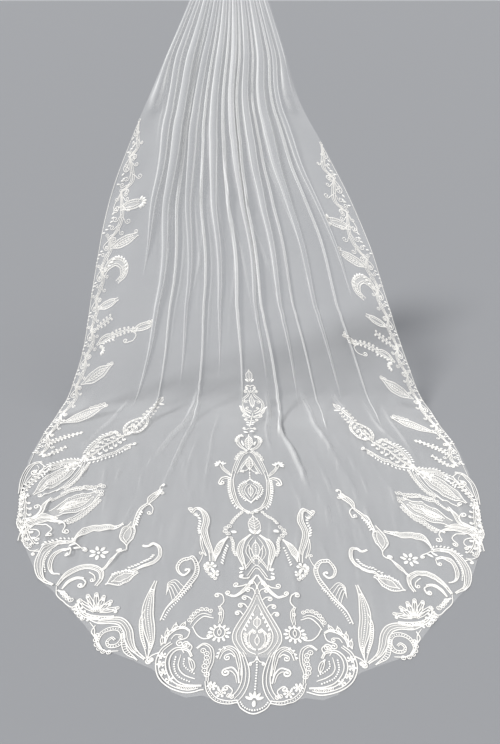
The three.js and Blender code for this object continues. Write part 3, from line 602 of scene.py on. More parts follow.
# The two colours of cord and satin are painted shade in the twist's grooves and painted highlight on its
# crests
CORD = thread_material(
    "lace_cord", (0.93, 0.915, 0.875), 0.48, ("DIAGONAL", 260.0, 1.5), (0.5, 0.0004),
    ((0.82, 0.795, 0.74), (0.95, 0.935, 0.9)), Sheen_Weight=0.25,
)
SATIN = thread_material(
    "lace_satin", (0.94, 0.925, 0.885), 0.38, ("X", 330.0, 2.0), (0.4, 0.0003),
    ((0.86, 0.84, 0.79), (0.96, 0.95, 0.915)),
)
NET = net_material()
TULLE = tulle_material()


# Meshes and curves
def grid(index):
    """Quads between neighbours in a table of vertex numbers."""
    corners = [index[:-1, :-1], index[1:, :-1], index[1:, 1:], index[:-1, 1:]]
    return np.stack(corners, axis=2).reshape(-1, 4).tolist()


def make_mesh(name, places, faces, uvs, *materials):
    """A smooth mesh, from places and flat coordinates in metres."""
    data = bpy.data.meshes.new(name)
    data.from_pydata(places.tolist(), [], faces)
    corners = np.empty(len(data.loops), int)
    data.loops.foreach_get("vertex_index", corners)
    data.uv_layers.new(name="flat").data.foreach_set("uv", uvs[corners].ravel())
    data.polygons.foreach_set("use_smooth", [True] * len(data.polygons))
    for material in materials:
        data.materials.append(material)
    return data


def spline(points, step=4.0, closed=False):
    """Catmull-Rom curve through points, with a point about every step."""
    points = np.asarray(points, float)
    if len(points) == 2 and not closed:
        count = max(1, int(round(np.linalg.norm(points[1] - points[0]) / step)))
        t = np.linspace(0, 1, count + 1)[:, None]
        return points[0] * (1 - t) + points[1] * t
    if closed:
        padded = np.vstack([points[-1], points, points[0], points[1]])
    else:
        padded = np.vstack([2 * points[0] - points[1], points, 2 * points[-1] - points[-2]])
    pieces = []
    for a, b, c, d in zip(padded[:-3], padded[1:-2], padded[2:-1], padded[3:]):
        count = max(1, int(math.ceil(np.linalg.norm(c - b) / step)))
        t = (np.arange(count) / count)[:, None]
        pieces.append(0.5 * (
            2 * b + (c - a) * t + (2 * a - 5 * b + 4 * c - d) * t**2 + (3 * b - a - 3 * c + d) * t**3
        ))
    if not closed:
        pieces.append(points[-1:])
    return np.vstack(pieces)


def tangents(points, closed=False):
    if closed:
        ahead = np.roll(points, -1, axis=0) - np.roll(points, 1, axis=0)
    else:
        ahead = np.gradient(points, axis=0)
    return ahead / np.maximum(np.linalg.norm(ahead, axis=1, keepdims=True), 1e-6)


def left_of(along):
    return np.stack([-along[:, 1], along[:, 0]], axis=1)


def offset(points, distance, closed=False):
    """The curve moved to its left side by a distance, one number or one for each point."""
    return points + left_of(tangents(points, closed)) * np.broadcast_to(distance, len(points))[:, None]


def lengths(points):
    return np.concatenate([[0], np.cumsum(np.linalg.norm(np.diff(points, axis=0), axis=1))])


def even_steps(points, gap, whole=int):
    """A fine curve, the length along it, and the lengths at the middles of even steps."""
    fine = spline(points, 1.5)
    reach = lengths(fine)
    count = max(1, whole(reach[-1] / gap))
    return fine, reach, reach[-1] * (np.arange(count) + 0.5) / count


def swelling(count):
    """How far a band has opened from its start and from its end, along its length."""
    t = np.linspace(0, 1, count)
    return smoothstep(t, 0, 0.4), smoothstep(1 - t, 0, 0.4)


def within(outline, x, y):
    ax, ay = outline[:, 0], outline[:, 1]
    bx, by = np.roll(ax, -1), np.roll(ay, -1)
    crosses = (ay > y) != (by > y)
    with np.errstate(divide="ignore", invalid="ignore"):
        at = ax + (y - ay) / (by - ay) * (bx - ax)
    return bool(np.count_nonzero(crosses & (x < at)) % 2)


def oval(x, y, radius_x, radius_y, count):
    angles = 2 * math.pi * np.arange(count) / count
    return np.stack([x + radius_x * np.cos(angles), y + radius_y * np.sin(angles)], axis=1)


class Lace:
    """Flat lace that collects cords, beads and net patches for one piece."""

    def __init__(self):
        self.spots = []
        self.lifts = []
        self.uvs = []
        self.faces = []
        self.slots = []
        self.total = 0
        self.flip = 1

    def take(self, spots, lifts, uvs, faces, slot):
        self.spots.append(np.asarray(spots, float) * (self.flip, 1))
        self.lifts.append(lifts)
        self.uvs.append(uvs)
        self.faces += [tuple(v + self.total for v in face[::self.flip]) for face in faces]
        self.slots += [slot] * len(faces)
        self.total += len(spots)

    def both_sides(self):
        """What is drawn in this loop is drawn a second time as its mirror image."""
        for way in (1, -1):
            self.flip = way
            yield way
        self.flip = 1

    def band(self, points, width, closed=False, taper=None):
        """A half-round cord along points that are already close together."""
        count = len(points)
        half = np.full(count, width / 2)
        if taper is not None and not closed:
            half = half * (taper + (1 - taper) * np.sin(math.pi * np.linspace(0, 1, count)) ** 0.6)
        reach = lengths(points)
        spots, lifts, uvs = [], [], []
        for across, up in PROFILE:
            spots.append(offset(points, half * across, closed))
            lifts.append(width * CORD_HEIGHT * up * half / (width / 2))
            uvs.append(np.stack([reach / 1000, np.full(count, across * width / 2000)], axis=1))
        index = np.arange(len(PROFILE) * count).reshape(-1, count)
        if closed:
            index = np.hstack([index, index[:, :1]])
        self.take(np.vstack(spots), np.concatenate(lifts), np.vstack(uvs), grid(index.T), 0)

    def cord(self, points, width=LINE, closed=False, step=4.0, taper=0.6):
        self.band(spline(points, step, closed), width, closed, taper)

    def dome(self, x, y, radius_x, radius_y=None, turn=0.0, sides=7):
        """A satin-stitched dot or lobe."""
        radius_y = radius_x if radius_y is None else radius_y
        height = min(radius_x, radius_y) * DOME_HEIGHT
        ring = oval(0, 0, radius_x, radius_y, sides)
        spots = np.vstack([ring, ring * DOME_SHOULDER[0], [[0, 0]]])
        cos, sin = math.cos(turn), math.sin(turn)
        spots = spots @ np.array([[cos, sin], [-sin, cos]])
        lifts = np.concatenate([np.zeros(sides), np.full(sides, height * DOME_SHOULDER[1]), [height]])
        faces = []
        for i in range(sides):
            nxt = (i + 1) % sides
            faces.append((i, nxt, sides + nxt, sides + i))
            faces.append((sides + i, sides + nxt, 2 * sides))
        self.take(spots + (x, y), lifts, spots / 1000, faces, 1)

    def dots(self, points, radius=BEAD, gap=6.4):
        """Beads at even steps along a curve."""
        fine, reach, places = even_steps(points, gap)
        for at in places:
            self.dome(np.interp(at, reach, fine[:, 0]), np.interp(at, reach, fine[:, 1]), radius)

    def lobes(self, points, length, width, gap, side=1, lean=0.9):
        """Satin leaflets that stand out from one side of a curve."""
        fine, reach, places = even_steps(points, gap)
        along = tangents(fine)
        for at in places:
            i = min(int(np.searchsorted(reach, at)), len(fine) - 1)
            angle = math.atan2(along[i, 1], along[i, 0]) + side * lean
            x = fine[i, 0] + math.cos(angle) * length * 0.5
            y = fine[i, 1] + math.sin(angle) * length * 0.5
            self.dome(x, y, length / 2, width / 2, angle, sides=8)

    def ring(self, x, y, radius=6.5):
        """A floret: a small loop with a bead in it."""
        self.band(oval(x, y, radius - 1.3, radius - 1.3, 9), RING_CORD, closed=True)
        self.dome(x, y, radius * 0.3, sides=6)

    def rings(self, points, radius=6.5, gap=11):
        """Florets along a curve."""
        fine, reach, places = even_steps(points, gap, round)
        for at in places:
            self.ring(np.interp(at, reach, fine[:, 0]), np.interp(at, reach, fine[:, 1]), radius)

    def curl(self, points, radius, way, width=OUTLINE):
        """A cord that ends in a spiral with a round eye."""
        path = spline(points)
        ahead = path[-1] - path[-2]
        ahead = ahead / np.linalg.norm(ahead)
        side = np.array((-ahead[1], ahead[0])) * way
        centre = path[-1] + side * radius
        t = np.linspace(0, 1, CURL_STEPS + 1)[1:]
        angle = math.atan2(-side[1], -side[0]) + way * 2 * math.pi * CURL_TURNS * t
        reach = radius * (1 - CURL_CLOSING * t)
        spiral = np.stack([centre[0] + reach * np.cos(angle), centre[1] + reach * np.sin(angle)], axis=1)
        self.band(np.vstack([path, spiral]), width)
        self.dome(*spiral[-1], width * CURL_EYE)

    def ribbon(self, points, width, inner="beads", ends=(0.3, 0.3), edge=LINE):
        """A band between two cords, with beads, cords or bars inside, its ends as shares of the width."""
        fine = spline(points)
        opening, closing = swelling(len(fine))
        swell = (ends[0] + (1 - ends[0]) * opening) * (ends[1] + (1 - ends[1]) * closing)
        half = np.maximum(width / 2 * swell - edge / 2, 0.3)
        left = offset(fine, half)
        right = offset(fine, -half)
        if width > NET_FROM:
            self.net(np.vstack([left, right[::-1]]))
        self.band(left, edge)
        self.band(right, edge)
        self.inside(fine, half, inner)

    def inside(self, fine, half, inner):
        room = len(fine) // 8
        core = fine[room:len(fine) - room]
        spread = half[room:len(fine) - room, None]
        along = tangents(core)
        to_edge = left_of(along) * spread
        if inner in PAIRS:
            for way in (1, -1):
                self.band(offset(core, way * spread[:, 0] * PAIRS[inner]), INNER)
        if inner in ("cord", "veins"):
            self.band(core, INNER)
        if inner == "beads":
            self.dots(core, min(BEAD, max(half) * 0.38), 6.8)
        elif inner == "rows":
            self.dots(core, 2.1)
        elif inner == "bars":
            for i in range(1, len(core) - 1, 2):
                self.band(core[i] + to_edge[i] * np.array([[-1], [1]]), INNER)
        elif inner == "veins":
            for i in range(1, len(core) - 3, 3):
                for way in (-1, 1):
                    tip = core[i] + along[i] * spread[i] * 0.9 + to_edge[i] * 0.85 * way
                    self.band(np.stack([core[i], tip]), INNER)

    def net(self, outline):
        """A patch of denser net inside an outline."""
        outline = np.asarray(outline, float)
        low = outline.min(axis=0)
        high = outline.max(axis=0)
        points = [Vector(place) for place in outline]
        border = [(i, (i + 1) % len(points)) for i in range(len(points))]
        for x in np.arange(low[0] + NET_STEP / 2, high[0], NET_STEP):
            for y in np.arange(low[1] + NET_STEP / 2, high[1], NET_STEP):
                if within(outline, x, y):
                    points.append(Vector((x, y)))
        made = delaunay_2d_cdt(points, border, [], 1, 1e-4)
        spots = np.array([tuple(v) for v in made[0]])
        if len(spots):
            self.take(spots, np.full(len(spots), -NET_DROP), spots / 1000, made[2], 2)

    def leaf(self, x0, y0, x1, y1, width, inner="beads", bend=0.0, ends=(0.0, 0.0)):
        """A leaf from its root to its tip, bent to its left by a share of its length."""
        start = np.array((x0, y0), float)
        ahead = np.array((x1 - x0, y1 - y0), float)
        bow = np.array((-ahead[1], ahead[0])) * bend * 0.8
        points = [start, start + ahead * 0.33 + bow, start + ahead * 0.7 + bow, start + ahead]
        self.ribbon(points, width, inner, ends)

    def flame(self, x0, y0, x1, y1, width):
        """A small satin petal from its root to its tip."""
        length = math.hypot(x1 - x0, y1 - y0)
        angle = math.atan2(y1 - y0, x1 - x0)
        self.dome((x0 + x1) / 2, (y0 + y1) / 2, length / 2, width / 2, angle, sides=9)

    def petals(self, x, y, radius, count, width, start=0.0, sweep=2 * math.pi, inner=0.3):
        """Petals around a point, over a whole turn or a part of it."""
        for i in range(count):
            share = i / count if sweep > 6 else i / (count - 1)
            cos = math.cos(start + sweep * share) * radius
            sin = math.sin(start + sweep * share) * radius
            self.flame(x + cos * inner, y + sin * inner, x + cos, y + sin, width)

    def flower(self, x, y, radius, count):
        self.petals(x, y, radius, count, radius * 3.4 / count, inner=0.42)
        self.band(oval(x, y, radius * 0.34, radius * 0.34, 10), RING_CORD, closed=True)
        self.dome(x, y, radius * 0.16)

    def vine(self, points, widths, pitch=21, florets=True, twin=True):
        """A stem with curls and florets on both sides, as wide as the widths along it."""
        fine = spline(points, 2)
        along = tangents(fine)
        side = left_of(along)
        reach = lengths(fine)
        half = np.interp(reach / reach[-1], np.linspace(0, 1, len(widths)), widths) / 2
        if twin:
            self.band(offset(fine, 2.6)[::2], LINE)
            self.band(offset(fine, -2.6)[::2], LINE)
        else:
            self.band(fine[::2], OUTLINE)
        count = max(1, int(reach[-1] / pitch))
        for k in range(count):
            for way in (1, -1):
                i = int(np.searchsorted(reach, reach[-1] * (k + 0.35 + 0.12 * way) / count))
                room = half[i] - 2
                if room < 5:
                    continue
                start = fine[i] + side[i] * way * 2
                bend = fine[i] + along[i] * pitch * 0.3 + side[i] * way * room * 0.4
                tip = fine[i] + along[i] * pitch * 0.52 + side[i] * way * room * 0.56
                self.curl([start, bend, tip], min(room * 0.38, pitch * 0.36), way, LINE)
                if florets and room > 11:
                    j = min(int(np.searchsorted(reach, reach[-1] * (k + 0.85) / count)), len(fine) - 1)
                    self.ring(*(fine[j] + side[j] * way * (half[j] - 6)), 5.2)
                    self.dome(*(fine[j] + side[j] * way * half[j] * 0.42), 2.4)

    def nested(self, points, width, ends=(0.1, 0.1), inner="veins"):
        """A leaf in a leaf: two outlines with beads between them and veins in the middle."""
        self.ribbon(points, width, "none", ends, OUTLINE)
        fine = spline(points)
        room = len(fine) // 7
        self.ribbon(fine[room:len(fine) - room:3], width * 0.52, inner, ends)
        swell = np.minimum(*swelling(len(fine)))
        for way in (1, -1):
            self.dots(offset(fine, way * width * 0.37 * swell)[room:len(fine) - room:3], 1.9)

    def mesh(self, name, mirror):
        spots = np.vstack(self.spots)
        across, down = laid(spots[:, 0] * mirror, spots[:, 1])
        places = on_cloth(across, down, np.concatenate(self.lifts) + LACE_LIFT)
        faces = [face[::mirror] for face in self.faces]
        data = make_mesh(name, places, faces, np.vstack(self.uvs), CORD, SATIN, NET)
        data.polygons.foreach_set("material_index", self.slots)
        return data


# Motifs on the centre line
def centre_spire(lace):
    lace.leaf(0, -148, 0, -197, 26, "cord")
    lace.leaf(0, -14, 0, -92, 20)
    lace.dots([(0, -132), (0, -100)], 2.8, 7)
    lace.dots([(0, 18), (0, 112)], 3.4, 8.5)
    lace.leaf(0, 258, 0, 158, 30, "veins")
    for _ in lace.both_sides():
        lace.flame(4, -146, 17, -158, 9)
        lace.curl([(1, -128), (10, -132), (18, -126)], 6, 1)
        lace.curl([(3, -104), (12, -114), (22, -112)], 7, 1)
        lace.ribbon([(6, -108), (14, -84), (33, -60), (41, -32), (33, -4), (7, 20)], 12, "beads", (0.7, 0.4))
        lace.curl([(5, -22), (10, -52), (22, -56)], 8, 1, LINE)
        lace.curl([(3, 4), (16, 0), (24, -12)], 6, -1, LINE)
        lace.cord([(2, 12), (16, -2), (30, -14)])
        lace.ribbon([(5, 40), (24, 26), (40, 4), (50, -20)], 11, "cord", (0.5, 0.8))
        lace.flame(46, -14, 58, -26, 8)
        lace.curl([(6, 44), (20, 44), (34, 38)], 8, -1)
        lace.curl([(4, 66), (14, 70), (24, 64)], 7, -1)
        lace.flame(3, 84, 18, 78, 8)
        lace.flame(3, 100, 15, 94, 8)
        lace.curl([(2, 122), (10, 128), (20, 128)], 6, -1)
        lace.flame(3, 146, 22, 140, 9)
        lace.ribbon([(4, 256), (24, 240), (41, 208), (38, 176), (24, 164)], 13, "beads", (0.5, 0.7))
        lace.rings([(20, 172), (34, 168), (46, 184), (47, 204)], 6)
        lace.flame(18, 226, 27, 196, 9)


def centre_wreath(lace):
    lace.leaf(0, 384, 0, 296, 26, "veins")
    lace.rings([(-20, 606), (0, 613), (20, 606)], 7, 13)
    for _ in lace.both_sides():
        lace.ribbon([(5, 268), (24, 284), (38, 318), (49, 360), (58, 404)], 17, "beads", (0.6, 0.8))
        lace.rings([(6, 262), (26, 268), (40, 290), (48, 318)], 7.5, 14)
        lace.cord([(4, 306), (16, 328), (30, 364), (44, 402)])
        lace.dots([(10, 330), (22, 362), (34, 396)], 2.8, 7)
        lace.curl([(3, 372), (14, 386), (24, 388)], 6, 1, LINE)
        lace.ribbon([
            (58, 404), (63, 450), (59, 510), (47, 562), (28, 594), (6, 608),
        ], 16, "cord", (0.8, 0.6), OUTLINE)
        lace.lobes([(68, 424), (69, 490), (58, 556), (44, 584)], 13, 7, 11, -1, 0.8)
        lace.ribbon([(64, 412), (78, 392), (94, 368), (100, 350)], 13, "cord", (0.6, 1))
        lace.petals(102, 348, 24, 6, 8.5, -2.6, 3.1, 0.25)
        lace.rings([(92, 342), (104, 336), (114, 346)], 6)
        lace.curl([(66, 426), (84, 418), (102, 432), (108, 452)], 11, 1, 5)
        lace.cord([(66, 434), (82, 428), (96, 440), (100, 458)])


def wreath_pendant(lace):
    lace.dots([(0, 388), (0, 432)], 3, 8)
    lace.leaf(0, 528, 0, 462, 20)
    lace.dome(0, 556, 6, 4, math.pi / 2)
    for _ in lace.both_sides():
        lace.ribbon([
            (2, 430), (14, 446), (30, 464), (36, 490), (28, 520), (12, 544), (1, 556),
        ], 9, "none", (0.6, 0.6))
        lace.lobes([(8, 440), (28, 462), (37, 488), (30, 520), (14, 546)], 9, 6, 10, -1, 1.2)
        lace.cord([(2, 456), (16, 476), (20, 496), (12, 520), (2, 540)])
        lace.dots([(10, 452), (25, 474), (27, 496), (20, 520)], 2.6, 8)


def lotus_bud(lace):
    lace.leaf(0, 716, 0, 624, 40, "veins")
    lace.leaf(0, 824, 0, 742, 26)
    for apex, foot, reach in ((806, 858, 32), (820, 872, 34), (848, 896, 30), (860, 908, 28)):
        lace.cord([(-reach, foot), (0, apex), (reach, foot)], taper=0.9)
    for _ in lace.both_sides():
        lace.flame(4, 712, 19, 690, 10)
        lace.ribbon([
            (14, 716), (38, 746), (49, 790), (42, 830), (34, 868),
        ], 20, "lines", (0.35, 0.5), OUTLINE)
        lace.cord([(7, 726), (22, 756), (30, 796), (14, 832), (3, 846)])
        lace.leaf(6, 838, 21, 764, 13, "none")
        lace.ribbon([(2, 888), (18, 918), (36, 950), (58, 972), (76, 968)], 11, "cord", (0.5, 0.7), OUTLINE)
        lace.curl([(70, 972), (84, 966)], 8, -1)
        lace.curl([(30, 928), (42, 936), (58, 938)], 9, -1)
        lace.curl([(22, 900), (34, 906), (46, 904)], 7, -1)
        lace.lobes([(34, 862), (40, 880), (38, 896)], 13, 7, 11, -1, 1.0)
        lace.flame(36, 868, 52, 862, 8)


def hem_medallion(lace):
    lace.leaf(0, 1086, 0, 1042, 22, "cord")
    lace.leaf(0, 1142, 0, 1104, 14, "none")
    lace.dots([(0, 1172), (0, 1282)], 2.8, 7.5)
    lace.curl([(0, 1176), (-7, 1190), (-16, 1192)], 5, -1, LINE)
    lace.curl([(0, 1176), (7, 1190), (16, 1192)], 5, 1, LINE)
    lace.petals(0, 1300, 25, 5, 8, -2.7, 2.3, 0.2)
    lace.flame(0, 1300, 0, 1318, 10)
    lace.dots([(-34, 1302), (-22, 1318), (0, 1326), (22, 1318), (34, 1302)], 2.6, 6)
    lace.cord([(-42, 1300), (-28, 1322), (0, 1335), (28, 1322), (42, 1300)], OUTLINE, taper=0.9)
    sides = [(2, 938), (13, 982), (29, 1022), (48, 1062), (62, 1096), (63, 1124), (50, 1150), (34, 1176)]
    lace.net([(-x, y) for x, y in sides] + [(x, y) for x, y in sides[::-1]])
    for _ in lace.both_sides():
        lace.curl([(1, 944), (2, 928), (8, 916)], 9, 1)
        lace.curl([(4, 962), (10, 946), (22, 940)], 9, 1)
        lace.curl([(14, 984), (24, 974), (34, 972)], 8, 1)
        lace.curl([(26, 1012), (34, 1002), (44, 1000)], 8, 1)
        lace.curl([(38, 1038), (46, 1028), (54, 1028)], 7, 1)
        lace.cord(sides, OUTLINE)
        lace.cord([
            (1, 966), (8, 990), (22, 1026), (40, 1066), (53, 1098), (53, 1122), (41, 1146), (26, 1168),
        ])
        lace.cord([(2, 1000), (12, 1028), (30, 1070), (41, 1102), (37, 1132), (22, 1156), (2, 1168)], OUTLINE)
        lace.lobes([(10, 1022), (26, 1058), (36, 1086)], 13, 7, 12, 1, 0.7)
        lace.ribbon([(10, 1086), (22, 1104), (24, 1128), (12, 1148), (2, 1154)], 10, "none", (0.6, 0.5))
        lace.curl([(22, 1108), (18, 1094), (10, 1090)], 6, -1, LINE)
        lace.rings([(32, 1098), (30, 1124), (18, 1146)], 5, 10)
        lace.cord([(36, 1160), (24, 1192), (17, 1224), (18, 1256), (27, 1284), (40, 1304)], OUTLINE)
        lace.cord([(42, 1160), (32, 1192), (26, 1224), (27, 1256), (36, 1280), (48, 1298)])
        lace.cord([(50, 1150), (40, 1188), (35, 1224), (36, 1252), (44, 1276), (56, 1292)], OUTLINE)
        lace.ribbon([
            (40, 1232), (44, 1196), (52, 1164), (70, 1148), (88, 1158), (97, 1184),
        ], 15, "cord", (0.5, 0.6))
        lace.curl([(56, 1176), (66, 1166), (78, 1170)], 9, 1)
        lace.lobes([(74, 1148), (90, 1156), (97, 1178)], 10, 6, 9, -1, 1.0)
        lace.curl([(40, 1254), (46, 1226), (60, 1208), (78, 1212)], 11, 1, 5)
        lace.cord([(46, 1252), (52, 1230), (64, 1218), (76, 1222)])


# Motifs right of the centre line, each with a mirror copy on the left
def bead_arm(lace):
    lace.rings([(30, 604), (58, 638), (74, 668)], 6)
    lace.rings([(74, 676), (90, 690), (92, 710), (78, 722)], 8, 14)
    lace.flame(76, 704, 56, 704, 13)
    lace.rings([(76, 728), (68, 756), (68, 784), (58, 812)], 6, 10.5)
    lace.ribbon([(84, 734), (106, 764), (117, 800), (122, 838)], 22, "rows", (0.3, 0.2), OUTLINE)
    lace.lobes([(88, 762), (98, 800), (106, 846)], 12, 6, 10)


def rosette_drop(lace):
    lace.petals(99, 1100, 31, 12, 8.5, inner=0.55)
    lace.cord(oval(99, 1098, 15, 19, 14), OUTLINE, closed=True)
    lace.leaf(99, 1112, 99, 1084, 12, "none")
    lace.ribbon([(99, 1070), (96, 1048), (96, 1026), (104, 1008)], 13, "cord", (0.8, 0.6))
    lace.curl([(104, 1012), (92, 992), (96, 968), (108, 962)], 8, 1)
    lace.rings([(94, 1040), (106, 1030)], 6)
    lace.rings([(120, 1028), (146, 1020), (168, 1036), (182, 1066)], 7, 12.5)
    lace.cord([(116, 1052), (142, 1046), (160, 1064), (172, 1086)], OUTLINE)
    lace.cord([(122, 1042), (146, 1036), (166, 1052), (178, 1076)])
    lace.curl([(170, 1082), (158, 1106), (142, 1120), (126, 1120)], 7, 1)


def hem_roundel(lace):
    ring = [
        (222, 1134), (244, 1158), (252, 1196), (242, 1234), (220, 1260), (190, 1276), (158, 1282),
        (124, 1274),
    ]
    lace.cord(ring, OUTLINE, taper=0.9)
    lace.cord(offset(spline(ring, 6), 7)[::3], taper=0.9)
    for x, y in ((238, 1176), (239, 1202), (229, 1226), (210, 1246)):
        lace.flower(x, y, 11, 5)
    lace.rings([(190, 1262), (166, 1270), (142, 1268)], 6, 13)
    lace.curl([(246, 1166), (264, 1176), (276, 1190)], 8, 1)
    for x0, y0, x1, y1 in (
        (246, 1146, 248, 1112), (240, 1122, 236, 1088), (226, 1100, 214, 1070), (206, 1088, 190, 1066),
    ):
        lace.leaf(x0, y0, x1, y1, 13, "cord", -0.12, (0.2, 0.05))
    lace.ribbon([
        (236, 1140), (232, 1112), (214, 1092), (192, 1086), (176, 1096),
    ], 11, "none", (0.5, 0.6), OUTLINE)
    lace.curl([(176, 1098), (182, 1118), (202, 1128)], 10, 1)
    lace.curl([(222, 1126), (214, 1112), (200, 1110)], 7, -1, LINE)
    lace.ribbon([
        (164, 1178), (176, 1158), (202, 1154), (220, 1174), (222, 1206), (206, 1240), (178, 1260),
        (130, 1264),
    ], 13, "none", (0.6, 0.4), OUTLINE)
    lace.curl([(174, 1166), (166, 1148), (176, 1134)], 10, 1)
    lace.curl([(184, 1168), (192, 1152), (186, 1140)], 8, -1, LINE)
    lace.dots([(204, 1176), (205, 1208), (190, 1236), (158, 1252)], 2.8, 7)
    lace.cord([(192, 1172), (195, 1206), (179, 1230), (148, 1244)], OUTLINE)
    lace.dots([(182, 1182), (180, 1206), (150, 1230)], 2.6, 6.6)
    lace.leaf(172, 1180, 158, 1226, 15, "cord", 0.1, (0.3, 0.1))


def hem_florets(lace):
    lace.ribbon([
        (154, 1152), (136, 1138), (116, 1152), (112, 1188), (120, 1222), (118, 1250),
    ], 10, "none", (0.6, 0.8))
    lace.rings([(142, 1156), (128, 1166), (126, 1190), (130, 1214), (118, 1236)], 8, 13)
    lace.ribbon([(120, 1250), (112, 1276), (92, 1298), (66, 1306), (38, 1304)], 12, "beads", (0.8, 0.8))
    lace.flower(104, 1262, 13, 6)
    lace.flower(82, 1280, 14, 6)
    lace.curl([(62, 1292), (54, 1274), (64, 1262)], 8, 1)
    lace.rings([(66, 1286), (50, 1292)], 6)
    lace.lobes([(112, 1244), (94, 1260), (74, 1264)], 12, 6, 10, -1, 1.1)


def scroll_plume(lace):
    lace.ribbon([
        (196, 618), (180, 594), (160, 606), (150, 650), (158, 706), (148, 752), (136, 792), (132, 836),
    ], 22, "lines", (0.45, 0.6), OUTLINE)
    lace.curl([(196, 612), (204, 602)], 8, -1)
    lace.lobes([(186, 622), (176, 650), (180, 690), (176, 716)], 13, 7, 12)
    lace.curl([(170, 624), (178, 634), (186, 630)], 7, -1, LINE)
    lace.ribbon([(168, 730), (162, 776), (148, 816)], 9, "none", (0.4, 0.6))
    lace.flower(136, 856, 20, 6)
    lace.flower(122, 886, 15, 5)
    lace.rings([(150, 846), (146, 872), (126, 900), (114, 910)], 6, 12)


def fern_scroll(lace):
    lace.ribbon([
        (206, 872), (194, 880), (206, 896), (224, 884), (230, 858), (216, 832), (190, 830), (174, 858),
        (176, 894), (196, 940), (222, 982), (246, 1020), (258, 1064),
    ], 15, "bars", (0.4, 0.15), OUTLINE)
    lace.dome(204, 876, 5)
    lace.curl([(176, 860), (164, 832), (158, 806)], 7, 1, LINE)
    for k in range(5):
        lace.cord([
            (204 + 7 * k, 944 + 12 * k), (230 + 4 * k, 914 + 9 * k), (250, 926 + 8 * k), (252, 948 + 6 * k),
        ])
    lace.lobes([(186, 930), (214, 978), (240, 1020), (254, 1058)], 9, 4, 8, 1, 1.2)


def bead_leaf(lace):
    spine = [(286, 920), (294, 975), (294, 1035), (283, 1090), (272, 1140), (274, 1186)]
    lace.ribbon(spine, 33, "rows", (0.3, 0.1), OUTLINE)
    lace.cord([(303, 1026), (311, 1066), (302, 1116), (284, 1160), (276, 1186)], OUTLINE)
    lace.cord([(300, 1050), (303, 1080), (294, 1118), (281, 1156)])
    lace.dots([(306, 1046), (306, 1082), (297, 1118), (283, 1158)], 2.2, 6.6)
    lace.curl([(276, 1182), (270, 1196), (262, 1194)], 6, 1)


def hooked_leaf(lace):
    lace.ribbon([
        (340, 774), (322, 780), (308, 768), (290, 780), (285, 816), (302, 846), (336, 868), (362, 884),
    ], 12, "cord", (0.7, 0.8), OUTLINE)
    lace.lobes([(296, 808), (310, 836), (342, 858), (366, 872)], 12, 6, 9, -1, 0.8)
    lace.nested([(340, 888), (368, 900), (400, 924), (424, 940)], 48, (0.2, 0.05), "none")
    lace.lobes([(356, 880), (384, 888), (406, 906)], 11, 6, 9, -1)


def ribbon_leaf(lace):
    lace.ribbon([(550, 770), (530, 728), (500, 702), (456, 702), (408, 686)], 28, "rows", (0.2, 0.4), OUTLINE)
    lace.nested([(386, 784), (392, 748), (388, 706), (382, 668)], 44, (0.1, 0.3), "none")
    lace.ribbon([(378, 700), (370, 650), (360, 612), (342, 584), (330, 576)], 13, "bars", (0.7, 0.8), OUTLINE)
    lace.lobes([(364, 694), (360, 654), (350, 622)], 14, 7, 11)
    lace.curl([(334, 578), (320, 596), (322, 622)], 9, -1)
    lace.ribbon([(338, 580), (330, 550), (312, 520), (300, 500)], 26, "lines", (0.4, 0.5), OUTLINE)
    lace.rings([(318, 528), (300, 512), (294, 530)], 7, 13)
    lace.curl([(302, 508), (306, 490), (300, 480)], 6, -1)
    lace.curl([(386, 784), (386, 798), (396, 808)], 7, -1)
    lace.curl([(410, 820), (402, 812)], 7, 1)
    lace.ribbon([(408, 818), (420, 842), (434, 868), (448, 884)], 11, "cord", (0.4, 0.8))


def star_flower(lace):
    lace.petals(464, 810, 30, 7, 11, -1.2, inner=0.3)
    for k in range(7):
        angle = -1.2 + 2 * math.pi * k / 7
        lace.rings([(464 + 19 * math.cos(angle), 810 + 19 * math.sin(angle))] * 2, 6, 11)
    lace.dome(464, 810, 5)


